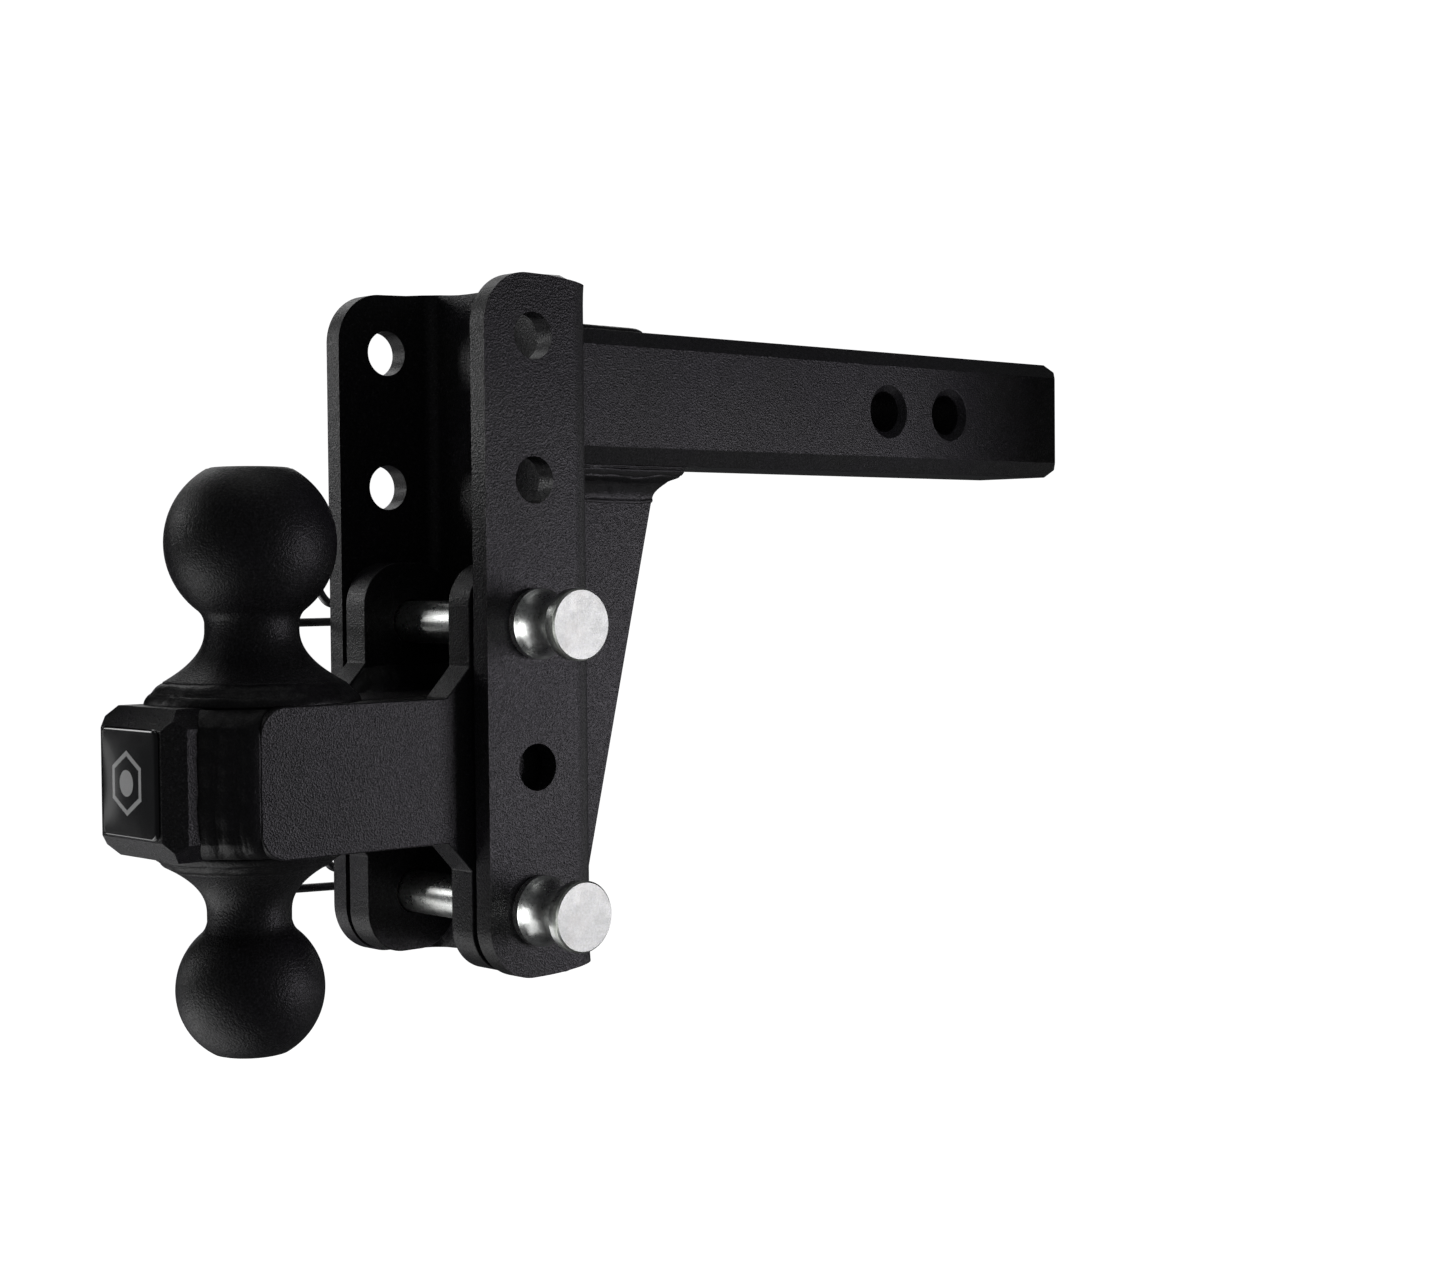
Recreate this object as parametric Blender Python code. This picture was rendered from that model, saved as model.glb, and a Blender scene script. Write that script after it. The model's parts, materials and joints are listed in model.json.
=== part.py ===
"""Adjustable drop hitch: square shank, pin-hole channel and a two-ball mount held by two pins.

Frame: metres, +Z up, +X towards the vehicle. The origin is the centre of the shank's free end face.
Left is +Y and right is -Y, as seen by someone who faces along +X.
"""

import math

import bmesh
import bpy
from mathutils import Matrix

# ---------------------------------------------------------------- driving dimensions (metres)
GAP = 0.0003                    # clearance between pieces that touch

SHANK_SIDE = 0.0508             # across the flats of both square bars
BAR_CHAMFER = 0.00635           # chamfer of a bar's long edges and of its worked end
SHANK_LENGTH = 0.2944
PIN_HOLE_PITCH = 0.0381         # between the two receiver pin holes
PIN_HOLE_FROM_END = 0.0778
HOLE_R = 0.0084                 # every 5/8 in pin hole
COUNTERSINK_R = 0.0112

CHANNEL_DEPTH = 0.0514
CHANNEL_HALF_WIDTH = 0.0485
CHANNEL_THICK = 0.008
CHANNEL_BEND_R = 0.0127         # outside of the two bends
CHANNEL_CORNER_R = 0.019        # front corners of the side plates
CHANNEL_HEIGHT = 0.249
CHANNEL_TOP_ABOVE_HOLE = 0.0220
HOLE_PITCH = 0.0508
HOLE_COUNT = 5
HOLE_FROM_FRONT = 0.0216
SHANK_BELOW_TOP_HOLE = 0.0174   # shank centre line under the top hole
UPPER_PIN_HOLE = 2              # index of the channel hole that each pin goes through
LOWER_PIN_HOLE = 4

GUSSET_THICK = 0.019
GUSSET_TOP_LENGTH = 0.0628
GUSSET_FOOT_LENGTH = 0.020
GUSSET_ABOVE_CHANNEL_FOOT = 0.006

CORE_FRONT_OVERHANG = 0.1115    # core bar's front end ahead of the channel
CORE_BACK_IN_CHANNEL = 0.0378
PLATE_THICK = 0.0124
PLATE_TONGUE_OVERHANG = 0.0854
PLATE_TONGUE_HALF = 0.0254
PLATE_TONGUE_R = 0.010
PLATE_STEP_START = 0.0100       # where the tongue starts to widen, ahead of the ears
PLATE_STEP_HALF = 0.036
PLATE_EAR_DEPTH = 0.040
PLATE_EAR_HALF = 0.073
PLATE_EAR_R = 0.016

UPPER_BALL_AHEAD = 0.0643       # each ball is welded on by itself, so the axes differ a little
LOWER_BALL_AHEAD = 0.0669
UPPER_BALL_R = 0.02937
UPPER_BALL_RISE = 0.0799        # ball centre above the core bar's centre line
UPPER_FLAT_RISE = 0.0259        # flat above the ball's centre
LOWER_BALL_R = 0.0254
LOWER_BALL_DROP = 0.0732
LOWER_FLAT_DROP = 0.0223
NECK_FILLET = 0.0012            # how far the ball's skin stops short of its neck
NECK_FILLET_HEIGHT = 0.0022
# (neck radius, neck below the ball's centre, flange radius, flange below the centre, flare power)
UPPER_NECK = (0.0161, 0.0295, 0.0302, 0.0472, 2.2)
LOWER_NECK = (0.0144, 0.0260, 0.0262, 0.0418, 2.3)

PIN_R = 0.00794
PIN_HEAD_R = 0.0126
PIN_HEAD_LENGTH = 0.0249
PIN_HEAD_CHAMFER = 0.001
PIN_HEAD_RIM = 0.0045           # width of the head's outer rim
PIN_COLLAR = 0.0035             # width of the collar against the channel
PIN_WAIST_R = 0.0092            # smallest radius of the grip between rim and collar
PIN_END_CHAMFER = 0.0016
PIN_END_Y = 0.0625
CLIP_HOLE_R = 0.0021
CLIP_Y = 0.0562
CLIP_WIRE_R = 0.0016
CLIP_LEG_TIP = -0.052           # end of the clip's straight leg, from the pin's axis
CLIP_EYE_R = 0.0072
CLIP_EYE_X = 0.0285             # centre of the eye, from the pin's axis
CLIP_LEG_START = -0.020
CLIP_DIP = [(0.0180, 0.0068), (0.0125, 0.0072)]
CLIP_TAIL = [(-0.0100, 0.0070), (-0.0140, 0.0066), (-0.0175, 0.0075), (-0.0200, 0.0099), (-0.0228, 0.0146)]
LOWER_PIN_TURN_DEG = 2.1        # the lower pin has turned a little in its holes, with its clip

BADGE_WIDTH = 0.035
BADGE_HEIGHT = 0.0355
BADGE_THICK = 0.0017
BADGE_CORNER_R = 0.003
BADGE_SHOULDER = 0.55           # share of the thickness before the dome starts
BADGE_FACE = 0.86               # share of the outline that the dome's flat keeps

SHANK_WELD_LEG = 0.009
TOP_WELD_LENGTH = 0.057
TOP_WELD_HALF_WIDTH = 0.0165
TOP_WELD_HEIGHT = 0.0028
# (distance from the channel, height, share of the half width) along the weld on top of the shank
TOP_WELD_STATIONS = [(0.0, SHANK_WELD_LEG, 1.0), (0.004, 0.0052, 1.0), (SHANK_WELD_LEG, TOP_WELD_HEIGHT, 1.0),
                     (0.044, TOP_WELD_HEIGHT, 1.0), (0.052, 0.0022, 0.86), (TOP_WELD_LENGTH, 0.0008, 0.55)]
GUSSET_WELD_SIDE = 0.009
GUSSET_WELD_END = 0.0090
GUSSET_WELD_DROP = 0.0133
GUSSET_BACK_WELD_LEG = 0.008
UPPER_RING_INNER_R = 0.0305
UPPER_RING_OUTER_R = 0.0366
LOWER_RING_INNER_R = 0.0265
LOWER_RING_OUTER_R = 0.0325
RING_HEIGHT = 0.0060
RING_SHOULDER = 0.0022          # how far the ring's outer face leans in
FRONT_WELD_LEG = 0.0150
FRONT_WELD_HALF = 0.0185
FRONT_WELD_BULGE = 0.62         # where the bead's face is fullest, as a share of its leg and of the plate
CLEVIS_FILLET = 0.010
CLEVIS_FILLET_ON_BAR = 0.004

CIRCLE_STEPS = 32               # sides of a pin hole
BALL_STEPS = 40                 # sides of a turned ball
PIN_STEPS = 28
WIRE_RESOLUTION = 2
SMOOTH_DEG = 35                 # turned pieces are shaded smooth under this edge angle

# ---------------------------------------------------------------- places worked out from them
BACK_X = -SHANK_LENGTH                                # back face of the channel
FRONT_X = BACK_X - CHANNEL_DEPTH                      # front edges of the channel
PIN_X = FRONT_X + HOLE_FROM_FRONT
TOP_HOLE_Z = SHANK_BELOW_TOP_HOLE
CHANNEL_TOP_Z = TOP_HOLE_Z + CHANNEL_TOP_ABOVE_HOLE
CHANNEL_FOOT_Z = CHANNEL_TOP_Z - CHANNEL_HEIGHT
HALF_BAR = SHANK_SIDE / 2
BAR_FLAT = HALF_BAR - BAR_CHAMFER                     # half width of a bar's flat side
UPPER_PIN_Z = TOP_HOLE_Z - UPPER_PIN_HOLE * HOLE_PITCH
LOWER_PIN_Z = TOP_HOLE_Z - LOWER_PIN_HOLE * HOLE_PITCH
CORE_Z = (UPPER_PIN_Z + LOWER_PIN_Z) / 2
PLATE_INNER_Y = HALF_BAR + GAP
PLATE_OUTER_Y = PLATE_INNER_Y + PLATE_THICK
UPPER_BALL_X = FRONT_X - UPPER_BALL_AHEAD
LOWER_BALL_X = FRONT_X - LOWER_BALL_AHEAD
CORE_FRONT_X = FRONT_X - CORE_FRONT_OVERHANG

BLACK_STEEL = ("powder_coat", (0.018, 0.018, 0.019), 0.55, 0.0)
BLACK_BALL = ("ball_coat", (0.020, 0.020, 0.021), 0.62, 0.0)
BLACK_WELD = ("weld_coat", (0.016, 0.016, 0.017), 0.48, 0.0)
BRIGHT_PIN = ("zinc_pin", (0.72, 0.72, 0.70), 0.28, 1.0)
CLIP_WIRE = ("clip_wire", (0.42, 0.42, 0.42), 0.35, 1.0)
LABEL = ("label", (0.010, 0.010, 0.010), 0.08, 0.0)


# ---------------------------------------------------------------- shared tools
def clear_scene():
    for obj in list(bpy.data.objects):
        bpy.data.objects.remove(obj, do_unlink=True)


def material(spec):
    name, colour, roughness, metallic = spec
    found = bpy.data.materials.get(name)
    if found:
        return found
    made = bpy.data.materials.new(name)
    made.use_nodes = True
    shader = made.node_tree.nodes["Principled BSDF"]
    shader.inputs["Base Color"].default_value = (*colour, 1.0)
    shader.inputs["Roughness"].default_value = roughness
    shader.inputs["Metallic"].default_value = metallic
    return made


def finish(name, work, spec, place=(0, 0, 0), smooth_angle=None):
    """Turn a bmesh into a placed object with its material."""
    bmesh.ops.remove_doubles(work, verts=work.verts, dist=1e-7)
    bmesh.ops.recalc_face_normals(work, faces=work.faces)
    mesh = bpy.data.meshes.new(name)
    work.to_mesh(mesh)
    work.free()
    if smooth_angle is not None:
        mesh.shade_smooth()
        mesh.set_sharp_from_angle(angle=math.radians(smooth_angle))
    mesh.materials.append(material(spec))
    obj = bpy.data.objects.new(name, mesh)
    obj.location = place
    bpy.context.scene.collection.objects.link(obj)
    return obj


def arc(centre, radius, start_deg, end_deg, steps):
    """Points of an arc in a plane, both ends included."""
    points = []
    for i in range(steps + 1):
        angle = math.radians(start_deg + (end_deg - start_deg) * i / steps)
        points.append((centre[0] + radius * math.cos(angle), centre[1] + radius * math.sin(angle)))
    return points


def prism(outline, axis, low, high):
    """Extrude a closed outline along X, Y or Z; the outline gives the other two coordinates in order."""
    def place(pair, level):
        coords = list(pair)
        coords.insert("XYZ".index(axis), level)
        return coords
    work = bmesh.new()
    bottom = [work.verts.new(place(pair, low)) for pair in outline]
    top = [work.verts.new(place(pair, high)) for pair in outline]
    work.faces.new(bottom)
    work.faces.new(top)
    count = len(outline)
    for i in range(count):
        after = (i + 1) % count
        work.faces.new((bottom[i], bottom[after], top[after], top[i]))
    return work


def convex(points):
    """The convex solid on a set of corners."""
    work = bmesh.new()
    for point in points:
        work.verts.new(point)
    made = bmesh.ops.convex_hull(work, input=work.verts)
    inside = [v for v in made["geom_interior"] if isinstance(v, bmesh.types.BMVert)]
    bmesh.ops.delete(work, geom=inside, context="VERTS")
    bmesh.ops.dissolve_limit(work, angle_limit=0.001, verts=work.verts, edges=work.edges)
    return work


def turned(profile, steps, axis="Z"):
    """Spin a profile of (radius, height) pairs, from one end to the other; zero radius closes an end."""
    work = bmesh.new()
    rings = []
    for radius, height in profile:
        if radius < 1e-6:
            rings.append([work.verts.new((0, 0, height))])
            continue
        ring = []
        for i in range(steps):
            angle = 2 * math.pi * i / steps
            ring.append(work.verts.new((radius * math.cos(angle), radius * math.sin(angle), height)))
        rings.append(ring)
    for first, second in zip(rings, rings[1:]):
        join_rings(work, first, second, steps)
    for ring in (rings[0], rings[-1]):
        if len(ring) > 1:
            work.faces.new(ring)
    if axis == "Y":
        bmesh.ops.rotate(work, verts=work.verts, matrix=Matrix.Rotation(math.radians(-90), 3, "X"))
    if axis == "X":
        bmesh.ops.rotate(work, verts=work.verts, matrix=Matrix.Rotation(math.radians(90), 3, "Y"))
    return work


def join_rings(work, first, second, steps):
    for i in range(steps):
        after = (i + 1) % steps
        if len(first) == 1:
            work.faces.new((first[0], second[i], second[after]))
        elif len(second) == 1:
            work.faces.new((first[i], second[0], first[after]))
        else:
            work.faces.new((first[i], second[i], second[after], first[after]))


def rails(lines, closed=False):
    """A solid between parallel rails: section i joins the i-th point of every rail."""
    work = bmesh.new()
    sections = [[work.verts.new(point) for point in section] for section in zip(*lines)]
    pairs = list(zip(sections, sections[1:]))
    if closed:
        pairs.append((sections[-1], sections[0]))
    count = len(lines)
    for first, second in pairs:
        for i in range(count):
            after = (i + 1) % count
            work.faces.new((first[i], first[after], second[after], second[i]))
    if not closed:
        work.faces.new(sections[0])
        work.faces.new(sections[-1])
    return work


def cut(obj, name, work):
    """Cut a hidden cutter out of an object."""
    cutter = finish(name, work, BLACK_STEEL, obj.location)
    cutter.hide_render = True
    cutter.hide_set(True)
    cutter.display_type = "WIRE"
    change = obj.modifiers.new(name, "BOOLEAN")
    change.operation = "DIFFERENCE"
    change.solver = "EXACT"
    change.object = cutter


def drill(obj, name, places, radius, reach):
    """Round holes along Y through an object, at (x, z) places in its own frame."""
    work = bmesh.new()
    for x, z in places:
        turn = Matrix.Rotation(math.radians(90), 4, "X")
        bmesh.ops.create_cone(work, cap_ends=True, segments=CIRCLE_STEPS, radius1=radius, radius2=radius,
                              depth=2 * reach, matrix=Matrix.Translation((x, 0, z)) @ turn)
    cut(obj, name, work)


def square_bar(free_end, other_end):
    """Corners of a chamfered square bar along X whose free end is chamfered all round."""
    inward = math.copysign(1.0, other_end - free_end)
    points = []
    for sy in (-1, 1):
        for sz in (-1, 1):
            points.append((free_end, sy * BAR_FLAT, sz * BAR_FLAT))
            half_step = HALF_BAR - BAR_CHAMFER / 2
            points.append((free_end + inward * BAR_CHAMFER / 2, sy * half_step, sz * half_step))
            for x in (free_end + inward * BAR_CHAMFER, other_end):
                points.append((x, sy * HALF_BAR, sz * BAR_FLAT))
                points.append((x, sy * BAR_FLAT, sz * HALF_BAR))
    return points


# ---------------------------------------------------------------- shank, channel and gusset
def shank():
    obj = finish("shank", convex(square_bar(0.0, BACK_X + GAP)), BLACK_STEEL)
    reach = HALF_BAR + 0.001
    flare = COUNTERSINK_R + 0.001
    depth = HALF_BAR - (COUNTERSINK_R - HOLE_R)
    profile = [(flare, -reach), (HOLE_R, -depth), (HOLE_R, depth), (flare, reach)]
    for i in range(2):
        work = turned(profile, CIRCLE_STEPS, "Y")
        x = -PIN_HOLE_FROM_END - i * PIN_HOLE_PITCH
        bmesh.ops.translate(work, verts=work.verts, vec=(x, 0, 0))
        cut(obj, "shank_hole_cutter_%d" % (i + 1), work)


def channel_outline():
    """The U in plan: outside from the front right edge round to the front left, then back inside."""
    outer_r = CHANNEL_BEND_R
    inner_r = CHANNEL_BEND_R - CHANNEL_THICK
    centre_x = BACK_X - outer_r
    centre_y = CHANNEL_HALF_WIDTH - outer_r
    inner_y = CHANNEL_HALF_WIDTH - CHANNEL_THICK
    points = [(FRONT_X, -CHANNEL_HALF_WIDTH)]
    points += arc((centre_x, -centre_y), outer_r, -90, 0, 8)
    points += arc((centre_x, centre_y), outer_r, 0, 90, 8)
    points += [(FRONT_X, CHANNEL_HALF_WIDTH), (FRONT_X, inner_y)]
    points += arc((centre_x, centre_y), inner_r, 90, 0, 6)
    points += arc((centre_x, -centre_y), inner_r, 0, -90, 6)
    points.append((FRONT_X, -inner_y))
    return points


def corner_cutter():
    """What lies outside the rounded front corners of the side plates, as two three-sided pieces."""
    work = bmesh.new()
    margin = 0.002
    radius = CHANNEL_CORNER_R
    reach = CHANNEL_HALF_WIDTH + 0.001
    for edge_z, side in ((CHANNEL_TOP_Z, 1), (CHANNEL_FOOT_Z, -1)):
        centre = (FRONT_X + radius, edge_z - side * radius)
        points = arc(centre, radius, 180, 180 - side * 90, 8)
        points += [(centre[0], edge_z + side * margin), (FRONT_X - margin, edge_z + side * margin)]
        points.append((FRONT_X - margin, centre[1]))
        piece = prism(points, "Y", -reach, reach)
        mesh = bpy.data.meshes.new("corner")
        piece.to_mesh(mesh)
        piece.free()
        work.from_mesh(mesh)
        bpy.data.meshes.remove(mesh)
    return work


def channel():
    obj = finish("channel", prism(channel_outline(), "Z", CHANNEL_FOOT_Z, CHANNEL_TOP_Z), BLACK_STEEL,
                 smooth_angle=30)
    cut(obj, "channel_corner_cutter", corner_cutter())
    places = [(PIN_X, TOP_HOLE_Z - i * HOLE_PITCH) for i in range(HOLE_COUNT)]
    drill(obj, "channel_hole_cutter", places, HOLE_R, CHANNEL_HALF_WIDTH + 0.001)


def gusset():
    top = -HALF_BAR - GAP
    foot = CHANNEL_FOOT_Z + GUSSET_ABOVE_CHANNEL_FOOT
    near = BACK_X + GAP
    outline = [(near, foot), (BACK_X + GUSSET_FOOT_LENGTH, foot), (BACK_X + GUSSET_TOP_LENGTH, top),
               (near, top)]
    finish("gusset", prism(outline, "Y", -GUSSET_THICK / 2, GUSSET_THICK / 2), BLACK_STEEL)


# ---------------------------------------------------------------- ball mount
def core_bar():
    back = FRONT_X + CORE_BACK_IN_CHANNEL
    finish("core_bar", convex(square_bar(CORE_FRONT_X, back)), BLACK_STEEL, (0, 0, CORE_Z))


def clevis_outline():
    """The T of a side plate about the core bar's centre line, as (x, z)."""
    tongue_x = FRONT_X - PLATE_TONGUE_OVERHANG
    back_x = FRONT_X + PLATE_EAR_DEPTH
    r = PLATE_TONGUE_R
    half = PLATE_TONGUE_HALF
    ear = PLATE_EAR_HALF
    upper = arc((tongue_x + r, half - r), r, 180, 90, 6)
    upper += [(FRONT_X - PLATE_STEP_START, half), (FRONT_X, PLATE_STEP_HALF)]
    upper += arc((FRONT_X + PLATE_EAR_R, ear - PLATE_EAR_R), PLATE_EAR_R, 180, 90, 7)
    upper += arc((back_x - PLATE_EAR_R, ear - PLATE_EAR_R), PLATE_EAR_R, 90, 0, 7)
    lower = [(x, -z) for x, z in reversed(upper)]
    return upper + lower


def clevis_plates():
    holes = [(PIN_X, UPPER_PIN_Z - CORE_Z), (PIN_X, LOWER_PIN_Z - CORE_Z)]
    for side, name in ((1, "left"), (-1, "right")):
        low, high = sorted((side * PLATE_INNER_Y, side * PLATE_OUTER_Y))
        obj = finish("clevis_plate_" + name, prism(clevis_outline(), "Y", low, high), BLACK_STEEL,
                     (0, 0, CORE_Z))
        drill(obj, "clevis_hole_cutter_" + name, holes, HOLE_R, PLATE_OUTER_Y + 0.001)


def ball_profile(radius, flat, neck, foot):
    """(radius, height) of a ball with neck and flange, heights from the ball's centre, flat first."""
    neck_r, neck_drop, flange_r, flange_drop, flare_power = neck
    flat_angle = math.degrees(math.asin(flat / radius))
    neck_angle = -math.degrees(math.acos((neck_r + NECK_FILLET) / radius))
    points = [(0.0, flat)] + arc((0, 0), radius, flat_angle, neck_angle, 14)
    points.append((neck_r, points[-1][1] - NECK_FILLET_HEIGHT))
    steps = 7
    for i in range(steps + 1):
        t = i / steps
        flare = (flange_r - neck_r) * t ** flare_power
        points.append((neck_r + flare, -neck_drop - (flange_drop - neck_drop) * t))
    return points + [(flange_r, foot), (0.0, foot)]


def upper_ball():
    foot = HALF_BAR + GAP - UPPER_BALL_RISE
    work = turned(ball_profile(UPPER_BALL_R, UPPER_FLAT_RISE, UPPER_NECK, foot), BALL_STEPS)
    finish("upper_ball", work, BLACK_BALL, (UPPER_BALL_X, 0, CORE_Z + UPPER_BALL_RISE), SMOOTH_DEG)


def lower_ball():
    foot = HALF_BAR + GAP - LOWER_BALL_DROP
    profile = ball_profile(LOWER_BALL_R, LOWER_FLAT_DROP, LOWER_NECK, foot)
    work = turned([(r, -z) for r, z in profile], BALL_STEPS)
    finish("lower_ball", work, BLACK_BALL, (LOWER_BALL_X, 0, CORE_Z - LOWER_BALL_DROP), SMOOTH_DEG)


def badge():
    """A thin domed label on the front face of the core bar."""
    half_y = BADGE_WIDTH / 2
    half_z = BADGE_HEIGHT / 2
    r = BADGE_CORNER_R
    outline = []
    for cy, cz, start in ((1, 1, 0), (-1, 1, 90), (-1, -1, 180), (1, -1, 270)):
        outline += arc((cy * (half_y - r), cz * (half_z - r)), r, start, start + 90, 4)
    back = CORE_FRONT_X - GAP
    shoulder = back - BADGE_THICK * BADGE_SHOULDER
    face = back - BADGE_THICK
    points = [(x, y, z) for x in (back, shoulder) for y, z in outline]
    points += [(face, y * BADGE_FACE, z * BADGE_FACE) for y, z in outline]
    finish("badge", convex(points), LABEL, (0, 0, CORE_Z))


# ---------------------------------------------------------------- pins and clips
def pin_profile():
    """(radius, y) along a pin from the outer face of its head to its free end."""
    seat = -CHANNEL_HALF_WIDTH - GAP
    face = seat - PIN_HEAD_LENGTH
    points = [(0.0, face), (PIN_HEAD_R - PIN_HEAD_CHAMFER, face), (PIN_HEAD_R, face + PIN_HEAD_CHAMFER)]
    rim = face + PIN_HEAD_RIM
    points.append((PIN_HEAD_R, rim))
    collar = seat - PIN_COLLAR
    steps = 8
    for i in range(1, steps):
        t = i / steps
        dip = math.sin(math.pi * t) ** 0.7
        points.append((PIN_HEAD_R - (PIN_HEAD_R - PIN_WAIST_R) * dip, rim + (collar - rim) * t))
    points += [(PIN_HEAD_R, collar), (PIN_HEAD_R, seat), (PIN_R, seat)]
    points += [(PIN_R, PIN_END_Y - PIN_END_CHAMFER), (PIN_R - PIN_END_CHAMFER, PIN_END_Y), (0.0, PIN_END_Y)]
    return points


def pin(name, z, turn_deg):
    obj = finish(name, turned(pin_profile(), PIN_STEPS, "Y"), BRIGHT_PIN, (PIN_X, 0, z), SMOOTH_DEG)
    obj.rotation_euler.y = math.radians(turn_deg)
    hole = turned([(CLIP_HOLE_R, -0.012), (CLIP_HOLE_R, 0.012)], 12, "X")
    bmesh.ops.translate(hole, verts=hole.verts, vec=(0, CLIP_Y, 0))
    cut(obj, name + "_cross_hole_cutter", hole)


def clip_route():
    """Centre line of the R-shaped wire about the pin's axis, as (x, z)."""
    leg = [(CLIP_LEG_TIP, 0.0), (CLIP_LEG_START, 0.0)]
    eye = arc((CLIP_EYE_X, CLIP_EYE_R), CLIP_EYE_R, -90, 150, 10)
    crest = arc((0.0, 0.0), PIN_R + CLIP_WIRE_R + GAP, 52, 128, 6)
    return leg + eye + CLIP_DIP + crest + CLIP_TAIL


def clip(name, z, turn_deg):
    curve = bpy.data.curves.new(name, "CURVE")
    curve.dimensions = "3D"
    curve.bevel_depth = CLIP_WIRE_R
    curve.bevel_resolution = WIRE_RESOLUTION
    curve.use_fill_caps = True
    route = clip_route()
    line = curve.splines.new("POLY")
    line.points.add(len(route) - 1)
    for point, (x, height) in zip(line.points, route):
        point.co = (x, 0, height, 1)
    curve.materials.append(material(CLIP_WIRE))
    obj = bpy.data.objects.new(name, curve)
    obj.location = (PIN_X, CLIP_Y, z)
    obj.rotation_euler.y = math.radians(turn_deg)
    bpy.context.scene.collection.objects.link(obj)


# ---------------------------------------------------------------- welds
def offset_octagon(start_y, distance):
    """A path round the +Y half of the shank's section, held off its surface by a distance."""
    mitre = distance * math.tan(math.radians(22.5))
    corner = distance * math.sqrt(0.5)
    return [(start_y, HALF_BAR + distance), (BAR_FLAT + mitre, HALF_BAR + distance),
            (HALF_BAR + distance, BAR_FLAT + mitre), (HALF_BAR + distance, -BAR_FLAT - mitre),
            (BAR_FLAT + corner, -HALF_BAR - corner)]


def shank_side_welds():
    """Beads in the corner between the shank's sides and the channel's back."""
    near = BACK_X + GAP
    start_y = TOP_WELD_HALF_WIDTH + 2 * GAP
    inner = offset_octagon(start_y, GAP)
    outer = offset_octagon(start_y, GAP + SHANK_WELD_LEG)
    for side, name in ((1, "left"), (-1, "right")):
        lines = [[(near, side * y, z) for y, z in inner],
                 [(near, side * y, z) for y, z in outer],
                 [(near + SHANK_WELD_LEG, side * y, z) for y, z in inner]]
        finish("shank_weld_" + name, rails(lines), BLACK_WELD)


def shank_top_weld():
    """A low build-up of weld on top of the shank, highest against the channel."""
    base = HALF_BAR + GAP
    near = BACK_X + GAP
    steps = 8
    lines = []
    for i in range(steps + 1):
        angle = math.pi * i / steps
        line = []
        for x, height, width in TOP_WELD_STATIONS:
            y = math.cos(angle) * TOP_WELD_HALF_WIDTH * width
            line.append((near + x, y, base + height * math.sin(angle) ** 0.6))
        lines.append(line)
    finish("shank_top_weld", rails(lines), BLACK_WELD)


def gusset_welds():
    """One bead round the gusset's top, and one down each side against the channel."""
    top = -HALF_BAR - GAP
    near = BACK_X + GAP
    inner_y = GUSSET_THICK / 2 + GAP
    outer_y = inner_y + GUSSET_WELD_SIDE
    end_x = BACK_X + GUSSET_TOP_LENGTH + GAP
    foot_z = CHANNEL_FOOT_Z + GUSSET_ABOVE_CHANNEL_FOOT
    slope = (GUSSET_TOP_LENGTH - GUSSET_FOOT_LENGTH) / (top - foot_z)
    low_end_x = end_x - slope * GUSSET_WELD_DROP
    low = top - GUSSET_WELD_DROP

    def u_path(end, y, z):
        return [(near, -y, z), (end, -y, z), (end, y, z), (near, y, z)]

    lines = [u_path(end_x, inner_y, top - GAP), u_path(end_x + GUSSET_WELD_END, outer_y, top - GAP),
             u_path(low_end_x, inner_y, low)]
    finish("gusset_top_weld", rails(lines), BLACK_WELD)

    leg = GUSSET_BACK_WELD_LEG
    section = [(near, inner_y), (near + leg, inner_y), (near, inner_y + leg)]
    for side, name in ((1, "left"), (-1, "right")):
        outline = [(x, side * y) for x, y in section]
        finish("gusset_side_weld_" + name, prism(outline, "Z", foot_z, low - GAP), BLACK_WELD)


def ball_ring(name, x, inner_r, outer_r, up):
    """A ring of weld round a ball's flange, on the core bar and the clevis plates."""
    base = HALF_BAR + GAP
    section = [(inner_r, base), (outer_r, base), (outer_r - RING_SHOULDER, base + 0.6 * RING_HEIGHT),
               (inner_r, base + RING_HEIGHT)]
    lines = []
    for r, z in section:
        turn = [2 * math.pi * i / BALL_STEPS for i in range(BALL_STEPS)]
        lines.append([(r * math.cos(a), r * math.sin(a), up * z) for a in turn])
    finish(name, rails(lines, closed=True), BLACK_WELD, (x, 0, CORE_Z))


def plate_front_welds():
    """Upright beads that join the front edges of the clevis plates to the sides of the core bar."""
    near = FRONT_X - PLATE_TONGUE_OVERHANG - GAP
    mid = FRONT_WELD_LEG * FRONT_WELD_BULGE
    for side, name in ((1, "left"), (-1, "right")):
        outline = [(near, side * PLATE_INNER_Y), (near, side * (PLATE_OUTER_Y - GAP)),
                   (near - mid, side * (PLATE_INNER_Y + FRONT_WELD_BULGE * PLATE_THICK)),
                   (near - FRONT_WELD_LEG, side * PLATE_INNER_Y)]
        work = prism(outline, "Z", -FRONT_WELD_HALF, FRONT_WELD_HALF)
        finish("plate_front_weld_" + name, work, BLACK_WELD, (0, 0, CORE_Z))


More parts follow.
